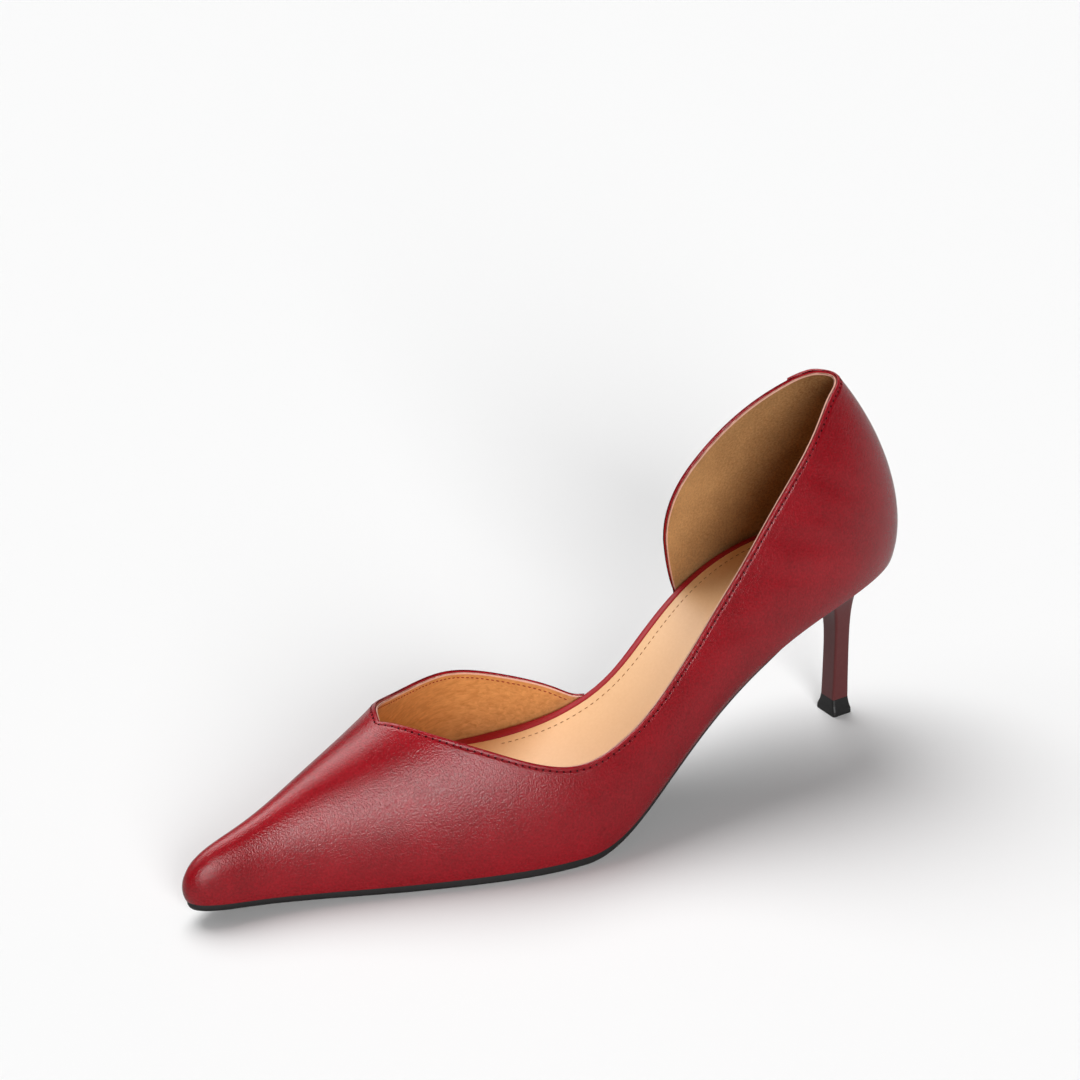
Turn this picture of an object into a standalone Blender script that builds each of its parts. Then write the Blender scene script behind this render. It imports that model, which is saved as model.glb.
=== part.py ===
"""A dorsay pump for the left foot: pointed toe, closed outer side, open inner side and a slim square heel.

Lengths are in metres. X runs to the outer side of the foot, Y to the back of the heel and Z up from the
floor. The upper, the insole and the sole all follow one last, which is a set of sections around the foot.
"""

import math
from collections import namedtuple

import bpy
import bmesh
import numpy as np

# The last
LAST_LENGTH = 0.2350        # bottom outline from the back of the seat to the tip, along the floor
BALL_WIDTH = 0.0700         # bottom outline across the ball
HEEL_RISE = 0.0508          # bottom of the last at the back of the seat, above that at the ball
TOE_SPRING = 0.0040         # lift of the bottom at the tip
VAMP_DEPTH = 0.0400         # from the bottom to the top of the last, at the point of the throat
TREAD_START = 0.54          # flat tread, in shares of the length from the back
TREAD_END = 0.72
SEAT_HANDLE = 0.32          # handles of the curve between the seat and the tread, in the same shares
SEAT_DROP = 0.025           # fall of the seat over its handle, as a share of HEEL_RISE
TREAD_HANDLE = 0.125

# Walls and layers
UPPER_WALL = 0.0018         # leather and lining
OVERLAP_WALL = 0.0007       # second layer of leather where the quarters join
BOARD_THICKNESS = 0.0030    # insole board in its leather wrap
SOCK_THICKNESS = 0.0012
SOLE_THICKNESS = 0.0026
GAP = 0.0003                # between touching pieces

SOLE_WAIST = 0.0010         # thickness of the sole at the front of the heel
SOLE_INSET = 0.0004         # edge of the sole inside the face of the upper
SOLE_ROUND = 0.0006         # rounding of the sole's lower edge
SOLE_CUT_BACK = 0.0010      # that edge's run inward
BOARD_ROUND = 0.0008        # rounding of the board's upper edge
SOCK_ROUND = 0.0004         # rounding of the sock's upper edge
SOCK_EDGE = 0.0014          # rim of the board beside the sock, where the upper stands
SOCK_MARGIN = 0.0034        # the same on the open inner side, where the rim shows
VAMP_MARGIN = 0.0052        # the same inside the vamp
SOLE_TAPER = 1.5            # how late the sole thickens from the waist to the tread, 1 for evenly

# Where the inner side stands open, in shares of the length from the back
OPEN_START = 0.240          # the sole's edge begins to step in under the board
OPEN_END = 0.405            # it is out again under the upper
OPEN_EASE = 0.050           # length of each of these steps
MARGIN_START = 0.020        # the rim beside the sock begins to widen
MARGIN_END = 0.740          # it is narrow again
MARGIN_EASE_BACK = 0.100
MARGIN_EASE_FRONT = 0.120

# The heel
BREAST_PLACE = 0.190        # front of the heel's top, as a share of the length from the back
COLUMN_PLACE = 0.060        # middle of the heel's column, as a share of the length from the back
COLUMN_WIDTH = 0.0064       # across the shoe
COLUMN_DEPTH = 0.0058       # along the shoe
COLUMN_CORNER = 0.0007      # radius of the column's corners
COLUMN_WAIST = 0.90         # depth halfway up the column, as a share of COLUMN_DEPTH
HEEL_FLARE = 7.0            # how fast the heel narrows under the seat
TIP_WIDTH = 0.0088
TIP_DEPTH = 0.0068
TIP_HEIGHT = 0.0052

# Fineness of the meshes
VAMP_COLUMNS = 18           # from the throat to the tip
SIDE_COLUMNS = 34           # closed outer side, from the back to the throat
TAIL_COLUMNS = 18           # inner vamp, from its end at the waist to the throat
QUARTER_COLUMNS = 14
WALL_ROWS = 12
SLAB_COLUMNS = 44           # sole, board and sock, from end to end
SHARP_EDGE = 38             # degrees between faces that are shaded as an edge

# Sections around the last, from the back along the outer side to the tip and home along the inner side.
# along: share of LAST_LENGTH from the back. out: outline, as a share of BALL_WIDTH from the middle line.
# The wall is one cubic curve from the outline up. Its first handle lies low_out beyond the outline, and its
# second at high_in, both in shares of the outline's distance from the middle. It ends at top_in.
# low_up and high_up are the handles' heights, in shares of the section's height. In front of the throat
# the second handle also follows the fall of the ridge towards the tip.
Section = namedtuple("Section", "side along out low_out low_up high_in high_up top_in")
SECTIONS = (
    Section("outer", 0.000, 0.000, 0.11, 0.22, 0.98, 0.60, 0.46),
    Section("outer", 0.020, 0.146, 0.12, 0.22, 0.96, 0.60, 0.49),
    Section("outer", 0.060, 0.230, 0.13, 0.22, 0.96, 0.62, 0.55),
    Section("outer", 0.130, 0.288, 0.17, 0.24, 0.98, 0.66, 0.59),
    Section("outer", 0.200, 0.304, 0.20, 0.26, 0.97, 0.70, 0.54),
    Section("outer", 0.280, 0.324, 0.20, 0.28, 0.95, 0.76, 0.43),
    Section("outer", 0.360, 0.360, 0.19, 0.30, 0.92, 0.82, 0.29),
    Section("outer", 0.440, 0.412, 0.16, 0.30, 0.86, 0.88, 0.16),
    Section("outer", 0.510, 0.447, 0.12, 0.32, 0.78, 0.94, 0.06),
    Section("outer", 0.570, 0.435, 0.09, 0.34, 0.70, 0.98, 0.02),
    Section("outer", 0.640, 0.374, 0.08, 0.36, 0.66, 1.00, 0.00),
    Section("outer", 0.722, 0.270, 0.08, 0.40, 0.62, 1.00, 0.00),
    Section("outer", 0.830, 0.123, 0.09, 0.44, 0.60, 1.00, 0.00),
    Section("outer", 0.910, 0.036, 0.11, 0.46, 0.63, 1.00, 0.00),
    Section("outer", 0.970, -0.004, 0.18, 0.46, 0.76, 1.00, 0.00),
    Section("tip", 1.000, -0.062, 0.28, 0.45, 0.90, 1.00, 0.00),
    Section("inner", 0.970, -0.122, 0.18, 0.46, 0.76, 1.00, 0.00),
    Section("inner", 0.910, -0.170, 0.11, 0.46, 0.63, 1.00, 0.00),
    Section("inner", 0.830, -0.259, 0.09, 0.44, 0.60, 1.00, 0.00),
    Section("inner", 0.722, -0.400, 0.08, 0.40, 0.62, 1.00, 0.00),
    Section("inner", 0.640, -0.510, 0.07, 0.36, 0.66, 1.00, 0.00),
    Section("inner", 0.580, -0.572, 0.07, 0.34, 0.70, 0.98, 0.02),
    Section("inner", 0.530, -0.568, 0.08, 0.32, 0.78, 0.94, 0.06),
    Section("inner", 0.480, -0.470, 0.14, 0.30, 0.84, 0.90, 0.10),
    Section("inner", 0.430, -0.325, 0.22, 0.30, 0.90, 0.86, 0.16),
    Section("inner", 0.380, -0.245, 0.28, 0.28, 0.96, 0.82, 0.28),
    Section("inner", 0.320, -0.266, 0.30, 0.28, 1.00, 0.78, 0.38),
    Section("inner", 0.250, -0.324, 0.26, 0.28, 1.00, 0.74, 0.48),
    Section("inner", 0.190, -0.346, 0.21, 0.26, 0.98, 0.68, 0.54),
    Section("inner", 0.130, -0.332, 0.17, 0.24, 0.98, 0.66, 0.57),
    Section("inner", 0.060, -0.255, 0.13, 0.22, 0.96, 0.62, 0.54),
    Section("inner", 0.020, -0.155, 0.12, 0.22, 0.96, 0.60, 0.49),
)

# Middle line of the sections: each section's inner end lies on it.
MIDDLE_START = 0.155        # share of the length from the back, for the section at the back
MIDDLE_END = 0.958          # the same for the section at the tip
RIDGE_START = 0.55          # the sections begin to follow the ridge's fall
RIDGE_EASE = 0.15
Middle = namedtuple("Middle", "along sideways depth")
# sideways is a share of BALL_WIDTH, depth a share of VAMP_DEPTH
MIDDLE_LINE = (
    Middle(0.155, 0.000, 1.60),
    Middle(0.250, -0.015, 1.645),
    Middle(0.400, -0.045, 1.58),
    Middle(0.520, -0.060, 1.48),
    Middle(0.640, -0.068, 1.25),
    Middle(0.735, -0.070, 0.985),
    Middle(0.830, -0.068, 0.725),
    Middle(0.910, -0.064, 0.490),
    Middle(0.958, -0.060, 0.378),
)


def angle_of(along):
    """Place around the last, 0 at the back and pi at the tip, for a share of the length."""
    return np.arccos(np.clip(1 - 2 * np.asarray(along, float), -1, 1))


def along_of(angle):
    return (1 - np.cos(angle)) / 2


def round_spline(knots, values):
    """Smooth closed curve through values at places around the last, as a function of the place."""
    knots = np.asarray(knots, float)
    values = np.asarray(values, float)
    count = len(knots)
    span = np.diff(np.append(knots, knots[0] + 2 * math.pi))
    slope = (np.roll(values, -1) - values) / span
    matrix = np.zeros((count, count))
    for i in range(count):
        matrix[i, i - 1] += span[i - 1]
        matrix[i, i] += 2 * (span[i - 1] + span[i])
        matrix[i, (i + 1) % count] += span[i]
    bend = np.linalg.solve(matrix, 6 * (slope - np.roll(slope, 1)))

    def curve(angle):
        angle = np.mod(np.asarray(angle, float) - knots[0], 2 * math.pi) + knots[0]
        i = np.clip(np.searchsorted(knots, angle, side="right") - 1, 0, count - 1)
        j = (i + 1) % count
        a = angle - knots[i]
        b = span[i] - a
        cubic = (bend[i] * b**3 + bend[j] * a**3) / (6 * span[i])
        low = (values[i] / span[i] - bend[i] * span[i] / 6) * b
        high = (values[j] / span[i] - bend[j] * span[i] / 6) * a
        return cubic + low + high

    return curve


def open_spline(knots, values):
    """Smooth open curve through values, with straight ends, as a function of the knots' measure."""
    knots = np.asarray(knots, float)
    values = np.asarray(values, float)
    count = len(knots)
    span = np.diff(knots)
    slope = np.diff(values) / span
    matrix = np.eye(count)
    right = np.zeros(count)
    for i in range(1, count - 1):
        matrix[i, i - 1:i + 2] = span[i - 1], 2 * (span[i - 1] + span[i]), span[i]
        right[i] = 6 * (slope[i] - slope[i - 1])
    bend = np.linalg.solve(matrix, right)

    def curve(place):
        place = np.asarray(place, float)
        i = np.clip(np.searchsorted(knots, place, side="right") - 1, 0, count - 2)
        a = place - knots[i]
        b = knots[i + 1] - place
        cubic = (bend[i] * b**3 + bend[i + 1] * a**3) / (6 * span[i])
        low = (values[i] / span[i] - bend[i] * span[i] / 6) * b
        high = (values[i + 1] / span[i] - bend[i + 1] * span[i] / 6) * a
        return cubic + low + high

    return curve


SECTION_ANGLES = [
    2 * math.pi - float(angle_of(s.along)) if s.side == "inner" else float(angle_of(s.along))
    for s in SECTIONS
]
AROUND = {
    name: round_spline(SECTION_ANGLES, [getattr(s, name) for s in SECTIONS])
    for name in ("out", "low_out", "low_up", "high_in", "high_up", "top_in")
}
MIDDLE = {
    name: open_spline([m.along for m in MIDDLE_LINE], [getattr(m, name) for m in MIDDLE_LINE])
    for name in ("sideways", "depth")
}


def bezier(p0, p1, p2, p3, t):
    s = 1 - t
    return s**3 * p0 + 3 * s * s * t * p1 + 3 * s * t * t * p2 + t**3 * p3


# Side view of the bottom: one curve falls from the seat to the tread.
CURVE = np.linspace(0, 1, 401)
SLOPE_ALONG = bezier(0.0, SEAT_HANDLE, TREAD_START - TREAD_HANDLE, TREAD_START, CURVE)
SLOPE_RISE = bezier(1.0, 1.0 - SEAT_DROP, 0.0, 0.0, CURVE)


def bottom_height(along):
    """Height of the last's bottom over the floor."""
    along = np.asarray(along, float)
    slope = HEEL_RISE * np.interp(along, SLOPE_ALONG, SLOPE_RISE)
    spring = np.clip((along - TREAD_END) / (1 - TREAD_END), 0, None)
    return SOLE_THICKNESS + GAP + slope + TOE_SPRING * spring**2


def ridge_height(along):
    """Height of the middle line over the floor."""
    return bottom_height(along) + MIDDLE["depth"](along) * VAMP_DEPTH


def ridge_slope(along):
    step = 1e-3
    return (ridge_height(along + step) - ridge_height(along - step)) / (2 * step * LAST_LENGTH)


def soft_step(value, start, width):
    """0 below start, 1 past start + width, and a smooth rise between them."""
    share = np.clip((value - start) / width, 0, 1)
    return share * share * (3 - 2 * share)


def outline(angle, outward=0.0):
    """Point of the bottom outline in plan, moved outward along its own normal."""
    step = 1e-4

    def point(a):
        return np.stack([AROUND["out"](a) * BALL_WIDTH, -along_of(a) * LAST_LENGTH], -1)

    angle = np.asarray(angle, float)
    tangent = point(angle + step) - point(angle - step)
    length = np.linalg.norm(tangent, axis=-1, keepdims=True)
    normal = np.stack([-tangent[..., 1], tangent[..., 0]], -1) / length
    return point(angle) + normal * np.asarray(outward)[..., None]


def last_point(angle, rise):
    """Point of the last at a place around it, and at a share of the way up its section."""
    angle, rise = np.broadcast_arrays(np.asarray(angle, float), np.asarray(rise, float))
    along = along_of(angle)
    foot = outline(angle)
    middle_along = MIDDLE_START + (MIDDLE_END - MIDDLE_START) * along
    middle = np.stack([MIDDLE["sideways"](middle_along) * BALL_WIDTH, -middle_along * LAST_LENGTH], -1)
    spoke = foot - middle
    low = bottom_height(along)
    height = ridge_height(middle_along) - low
    high_in = AROUND["high_in"](angle)
    reach = bezier(1.0, 1 + AROUND["low_out"](angle), high_in, AROUND["top_in"](angle), rise)
    ahead = (along - middle_along) * LAST_LENGTH * high_in
    fall = ridge_slope(middle_along) * ahead / height * soft_step(along, RIDGE_START, RIDGE_EASE)
    up = bezier(0.0, AROUND["low_up"](angle), AROUND["high_up"](angle) + fall, 1.0, rise)
    plan = middle + spoke * reach[..., None]
    return np.concatenate([plan, (low + height * up)[..., None]], -1)


def outward_normal(angle, rise):
    """Direction out of the last, kept level below the widest line so that the wall stands on the sole."""
    step = 1e-3
    around = last_point(angle + step, rise) - last_point(angle - step, rise)
    up = last_point(angle, np.clip(rise + step, 0, 1)) - last_point(angle, np.clip(rise - step, 0, 1))
    normal = np.cross(up, around)
    length = np.linalg.norm(normal, axis=-1, keepdims=True)
    normal = np.where(length > 1e-12, normal / np.maximum(length, 1e-12), [0.0, 0.0, 1.0])
    normal[..., 2] = np.maximum(normal[..., 2], 0.0)
    return normal / np.linalg.norm(normal, axis=-1, keepdims=True)


# Edges of the upper, as places along the shoe and shares of the way up the section.
Edge = namedtuple("Edge", "along rise")
OUTER_TOPLINE = (
    Edge(0.000, 1.000), Edge(0.019, 1.000), Edge(0.059, 0.990), Edge(0.101, 0.940), Edge(0.159, 0.846),
    Edge(0.213, 0.750), Edge(0.265, 0.656), Edge(0.321, 0.574), Edge(0.362, 0.520), Edge(0.396, 0.486),
    Edge(0.439, 0.452), Edge(0.483, 0.430), Edge(0.512, 0.418), Edge(0.544, 0.420), Edge(0.578, 0.456),
    Edge(0.621, 0.545), Edge(0.671, 0.700), Edge(0.703, 0.872), Edge(0.719, 1.000),
)
INNER_VAMP = (
    Edge(0.398, 0.035), Edge(0.413, 0.095), Edge(0.432, 0.185), Edge(0.462, 0.290), Edge(0.493, 0.362),
    Edge(0.528, 0.415), Edge(0.568, 0.450), Edge(0.604, 0.482), Edge(0.640, 0.535), Edge(0.672, 0.625),
    Edge(0.701, 0.790), Edge(0.719, 1.000),
)
INNER_QUARTER = (
    Edge(0.000, 1.000), Edge(0.019, 0.998), Edge(0.040, 0.982), Edge(0.067, 0.952), Edge(0.101, 0.912),
    Edge(0.128, 0.880), Edge(0.159, 0.843), Edge(0.190, 0.797), Edge(0.214, 0.750), Edge(0.235, 0.690),
    Edge(0.251, 0.615), Edge(0.261, 0.530), Edge(0.265, 0.440),
)
FRONT_LEAN = 0.024          # how far the quarter's front edge runs back at its foot, as a share of the length
OVERLAP_END = 0.055         # the outer quarter's leather wraps the back and ends here on the inner side
OVERLAP_GROWN = 0.022       # from the back to here the wall thickens to both layers


def edge_line(edges, inner):
    """Places around the last and rises of an edge, as smooth functions of a share of its length."""
    places = np.array([float(angle_of(e.along)) for e in edges])
    if inner:
        places = 2 * math.pi - places
    rises = np.array([e.rise for e in edges])
    steps = np.hypot(np.diff(places), np.diff(rises))
    measure = np.concatenate([[0], np.cumsum(steps)]) / steps.sum()
    return open_spline(measure, places), open_spline(measure, rises)


def wall_point(angle, rise, outward):
    """Point of the upper's wall, moved off the last. Its foot stands on the level of the last's bottom."""
    point = last_point(angle, rise) + outward_normal(angle, rise) * np.asarray(outward)[..., None]
    if rise < 1e-9:
        point[..., 2] = bottom_height(-point[..., 1] / LAST_LENGTH)
    return point


def side_grid():
    """Columns of the closed outer side, from the back to the tip: lists of places around and rises."""
    place, rise = edge_line(OUTER_TOPLINE, False)
    shares = np.linspace(0, 1, SIDE_COLUMNS + 1)
    throat = float(angle_of(OUTER_TOPLINE[-1].along))
    columns = [(float(place(u)), float(rise(u))) for u in shares]
    columns[0], columns[-1] = (0.0, 1.0), (throat, 1.0)
    columns += [(throat + (math.pi - throat) * k / VAMP_COLUMNS, 1.0) for k in range(1, VAMP_COLUMNS + 1)]
    return [[(angle, top * j / WALL_ROWS) for j in range(WALL_ROWS + 1)] for angle, top in columns]


def tail_grid():
    """Columns of the inner vamp, from its end at the waist to the tip."""
    place, rise = edge_line(INNER_VAMP, True)
    shares = np.linspace(0, 1, TAIL_COLUMNS + 1)
    throat = float(angle_of(INNER_VAMP[-1].along))
    columns = [(float(place(u)), float(rise(u))) for u in shares]
    columns[-1] = (2 * math.pi - throat, 1.0)
    reach = math.pi - throat
    columns += [
        (2 * math.pi - throat - reach * k / VAMP_COLUMNS, 1.0) for k in range(1, VAMP_COLUMNS + 1)
    ]
    return [[(angle, top * j / WALL_ROWS) for j in range(WALL_ROWS + 1)] for angle, top in columns]


def quarter_grid():
    """Columns of the inner quarter, from the back to its front edge, which leans back at the foot."""
    place, rise = edge_line(INNER_QUARTER, True)
    grid = []
    for k in range(QUARTER_COLUMNS + 1):
        share = k / QUARTER_COLUMNS
        along, top = float(along_of(place(share))), float(rise(share))
        column = []
        for j in range(WALL_ROWS + 1):
            up = j / WALL_ROWS
            lean = FRONT_LEAN * share**3 * (1 - up)**2
            column.append((2 * math.pi - float(angle_of(along - lean)), top * up))
        grid.append(column)
    return grid


class Shell:
    """Two sheets of one wall. Corners with the same name are the same corner."""

    def __init__(self):
        self.names = {}
        self.outer = []
        self.inner = []
        self.faces = []

    def corner(self, name, angle, rise, outward):
        if name not in self.names:
            self.names[name] = len(self.outer)
            self.outer.append(wall_point(angle, rise, outward))
            self.inner.append(wall_point(angle, rise, 0.0))
        return self.names[name]

    def patch(self, grid, naming, outward):
        index = [
            [self.corner(naming(i, j), angle, rise, outward(i, j)) for j, (angle, rise) in enumerate(column)]
            for i, column in enumerate(grid)
        ]
        for i in range(len(index) - 1):
            for j in range(len(index[i]) - 1):
                self.faces.append((index[i][j], index[i + 1][j], index[i + 1][j + 1], index[i][j + 1]))

    def sheets(self):
        """All corners and faces of the closed wall."""
        count = len(self.outer)
        uses = {}
        for face in self.faces:
            for a, b in zip(face, face[1:] + face[:1]):
                uses.setdefault(frozenset((a, b)), []).append((a, b))
        faces = list(self.faces) + [tuple(k + count for k in reversed(face)) for face in self.faces]
        for sides in uses.values():
            if len(sides) == 1:
                a, b = sides[0]
                faces.append((b, a, a + count, b + count))
        return np.array(self.outer + self.inner), faces


def upper_mesh():
    side, tail, quarter = side_grid(), tail_grid(), quarter_grid()
    ridge = len(side) - 1 - VAMP_COLUMNS
    shift = len(side) - len(tail)
    shell = Shell()
    shell.patch(side, lambda i, j: ("side", i, j), lambda i, j: UPPER_WALL)

    def tail_name(i, j):
        i += shift
        shared = i == len(side) - 1 or (i >= ridge and j == WALL_ROWS)
        return ("side", i, j) if shared else ("tail", i, j)

    def quarter_wall(i, j):
        along = float(along_of(quarter[i][j][0]))
        grown = min(along / OVERLAP_GROWN, 1.0)
        return UPPER_WALL + OVERLAP_WALL * grown * (along < OVERLAP_END)

    shell.patch(tail, tail_name, lambda i, j: UPPER_WALL)
    shell.patch(quarter, lambda i, j: ("side", 0, j) if i == 0 else ("quarter", i, j), quarter_wall)
    return shell.sheets()


def slab_mesh(start, rings):
    """Slab across the shoe. start: share of the length where it is cut square at the back, or None for a
    slab round at both ends. rings: outward offset and height function of each ring, from below to above."""
    half = SLAB_COLUMNS
    if start is None:
        angles = [math.pi * k / half for k in range(half + 1)]
        angles += [2 * math.pi - a for a in reversed(angles[1:-1])]
        left = list(range(half + 1))
        right = [0] + [2 * half - k for k in range(1, half)] + [half]
    else:
        first = float(angle_of(start))
        angles = [first + (math.pi - first) * k / half for k in range(half + 1)]
        angles += [2 * math.pi - a for a in reversed(angles[:-1])]
        left = list(range(half + 1))
        right = [2 * half - k for k in range(half)] + [half]
    count = len(angles)
    points, faces = [], []
    for offset, height in rings:
        for angle in angles:
            x, y = outline(angle, offset(angle))
            if start is not None:
                y = min(y, -start * LAST_LENGTH)
            points.append((x, y, float(height(-y / LAST_LENGTH))))
    for r in range(len(rings) - 1):
        for k in range(count):
            n = (k + 1) % count
            faces.append((r * count + k, r * count + n, (r + 1) * count + n, (r + 1) * count + k))
    for base, flip in ((0, True), ((len(rings) - 1) * count, False)):
        for k in range(half):
            face = [left[k], left[k + 1], right[k + 1], right[k]]
            face = [base + c for c in dict.fromkeys(face)]
            faces.append(tuple(reversed(face) if flip else face))
    return np.array(points), faces


def open_inside(angle):
    """1 on the inner side where the upper is cut away, 0 where it stands, with soft ends."""
    if angle < math.pi:
        return 0.0
    along = float(along_of(angle))
    begun = soft_step(along, OPEN_START, OPEN_EASE)
    return begun * (1 - soft_step(along, OPEN_END - OPEN_EASE, OPEN_EASE))


def sole_thickness(along):
    share = np.clip((along - BREAST_PLACE) / (TREAD_START - BREAST_PLACE), 0, 1)
    return SOLE_WAIST + (SOLE_THICKNESS - SOLE_WAIST) * share**SOLE_TAPER


def outsole_mesh():
    def edge(angle):
        standing = UPPER_WALL - SOLE_INSET
        return standing - (standing + GAP) * open_inside(angle)

    def top(along):
        return bottom_height(along) - GAP

    def bottom(along):
        return np.maximum(top(along) - sole_thickness(along), 0.0)

    rings = (
        (lambda angle: edge(angle) - SOLE_CUT_BACK, bottom),
        (edge, lambda along: bottom(along) + SOLE_ROUND),
        (edge, top),
    )
    return slab_mesh(BREAST_PLACE + GAP / LAST_LENGTH, rings)


def board_mesh():
    rings = (
        (lambda angle: -GAP, bottom_height),
        (lambda angle: -GAP, lambda along: bottom_height(along) + BOARD_THICKNESS - BOARD_ROUND),
        (lambda angle: -GAP - BOARD_ROUND, lambda along: bottom_height(along) + BOARD_THICKNESS),
    )
    return slab_mesh(None, rings)


def sock_edge(angle):
    """Distance of the sock's edge from the outline: wide on the open inner side, small elsewhere."""
    if angle < math.pi:
        return SOCK_EDGE
    along = float(along_of(angle))
    shown = soft_step(along, MARGIN_START, MARGIN_EASE_BACK)
    shown *= 1 - soft_step(along, MARGIN_END - MARGIN_EASE_FRONT, MARGIN_EASE_FRONT)
    margin = SOCK_MARGIN + (VAMP_MARGIN - SOCK_MARGIN) * soft_step(along, OPEN_END, MARGIN_EASE_BACK)
    return SOCK_EDGE + (margin - SOCK_EDGE) * float(shown)


def sock_mesh():
    def low(along):
        return bottom_height(along) + BOARD_THICKNESS + GAP

    rings = (
        (lambda angle: -sock_edge(angle), low),
        (lambda angle: -sock_edge(angle), lambda along: low(along) + SOCK_THICKNESS - SOCK_ROUND),
        (lambda angle: -sock_edge(angle) - SOCK_ROUND, lambda along: low(along) + SOCK_THICKNESS),
    )
    return slab_mesh(None, rings)


# Corners of the heel's rings on one side, from the middle of the back to the middle of the breast.
# seat: share of the way around the seat up to the breast, then along the breast line.
# Column corners: x and y in shares of the half width and half depth, and the turn of a corner's arc.
HeelCorner = namedtuple("HeelCorner", "seat breast x y turn")
HEEL_CORNERS = (
    HeelCorner(0.00, 0.0, 0.0, 1.0, None),
    HeelCorner(0.10, 0.0, 0.5, 1.0, None),
    HeelCorner(0.19, 0.0, 1.0, 1.0, 0.0),
    HeelCorner(0.28, 0.0, 1.0, 1.0, 0.5),
    HeelCorner(0.37, 0.0, 1.0, 1.0, 1.0),
    HeelCorner(0.50, 0.0, 1.0, 0.5, None),
    HeelCorner(0.64, 0.0, 1.0, 0.0, None),
    HeelCorner(0.80, 0.0, 1.0, -0.5, None),
    HeelCorner(0.93, 0.0, 1.0, -1.0, 1.0),
    HeelCorner(1.00, 0.0, 1.0, -1.0, 0.5),
    HeelCorner(1.00, 0.18, 1.0, -1.0, 0.0),
    HeelCorner(1.00, 0.55, 0.5, -1.0, None),
    HeelCorner(1.00, 1.0, 0.0, -1.0, None),
)


def column_corner(corner, side, width, depth):
    """Plan point of the column's outline, about the column's own middle."""
    x, y = corner.x * width / 2, corner.y * depth / 2
    if corner.turn is not None:
        turn = corner.turn * math.pi / 2
        x = width / 2 - COLUMN_CORNER * (1 - math.sin(turn))
        y = math.copysign(depth / 2 - COLUMN_CORNER * (1 - math.cos(turn)), corner.y)
    return x * side, y


def seat_corner(corner, side):
    """Plan point of the heel's top outline."""
    breast = float(angle_of(BREAST_PLACE))
    angle = corner.seat * breast
    if side < 0:
        angle = 2 * math.pi - angle
    x, y = outline(angle, UPPER_WALL - SOLE_INSET)
    y = max(y, -BREAST_PLACE * LAST_LENGTH)
    if corner.seat == 1.0:
        y = -BREAST_PLACE * LAST_LENGTH
    middle = AROUND["out"](breast) + AROUND["out"](2 * math.pi - breast)
    return x + (middle * BALL_WIDTH / 2 - x) * corner.breast, y


def mirrored_ring(place):
    """Ring of corners from the middle of the back, round the outer side and home by the inner side."""
    outer = [(c, 1) for c in HEEL_CORNERS]
    inner = [(c, -1) for c in reversed(HEEL_CORNERS[1:-1])]
    return [place(c, side) for c, side in outer + inner]


def lofted(rings):
    """Closed solid through rings with as many corners each, with flat strips across its ends."""
    count = len(rings[0])
    half = count // 2
    points = [p for ring in rings for p in ring]
    faces = []
    for r in range(len(rings) - 1):
        for k in range(count):
            n = (k + 1) % count
            faces.append((r * count + k, r * count + n, (r + 1) * count + n, (r + 1) * count + k))
    for base, flip in ((0, True), ((len(rings) - 1) * count, False)):
        for k in range(half):
            face = [k, k + 1, (count - k - 1) % count, (count - k) % count]
            face = [base + c for c in dict.fromkeys(face)]
            faces.append(tuple(reversed(face) if flip else face))
    return np.array(points), faces


# Rings of the heel from the seat down to the top lift, in shares of its height
HEEL_STEPS = (0.0, 0.012, 0.03, 0.055, 0.085, 0.12, 0.165, 0.22, 0.30, 0.42, 0.58, 0.78, 1.0)
# Rings of the top lift: height as a share of TIP_HEIGHT, and how far it has flared out from the column
LiftRing = namedtuple("LiftRing", "rise flare")
LIFT_RINGS = (
    LiftRing(0.00, 0.94), LiftRing(0.10, 1.00), LiftRing(0.30, 0.90), LiftRing(0.62, 0.35),
    LiftRing(1.00, 0.00),
)


def heel_mesh():
    foot = TIP_HEIGHT + GAP
    rings = []
    for step in HEEL_STEPS:
        spread = (1 - step)**HEEL_FLARE
        depth = COLUMN_DEPTH * (COLUMN_WAIST + (1 - COLUMN_WAIST) * (2 * step - 1)**2)

        def place(corner, side):
            column = column_corner(corner, side, COLUMN_WIDTH, depth)
            seat_x, seat_y = seat_corner(corner, side)
            x = column[0] + (seat_x - column[0]) * spread
            y = column[1] - COLUMN_PLACE * LAST_LENGTH
            y += (seat_y - y) * spread
            top = float(bottom_height(-seat_y / LAST_LENGTH)) - GAP
            under = float(bottom_height(COLUMN_PLACE)) - GAP
            z = foot + (top - foot) * spread + (under - foot) * (1 - step - spread)
            return x, y, z

        rings.append(mirrored_ring(place))
    return lofted(rings[::-1])


def top_lift_mesh():
    rings = []
    for rise, flare in LIFT_RINGS:
        width = COLUMN_WIDTH + (TIP_WIDTH - COLUMN_WIDTH) * flare
        depth = COLUMN_DEPTH + (TIP_DEPTH - COLUMN_DEPTH) * flare

        def place(corner, side):
            x, y = column_corner(corner, side, width, depth)
            return x, y - COLUMN_PLACE * LAST_LENGTH, TIP_HEIGHT * rise

        rings.append(mirrored_ring(place))
    return lofted(rings)


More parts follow.
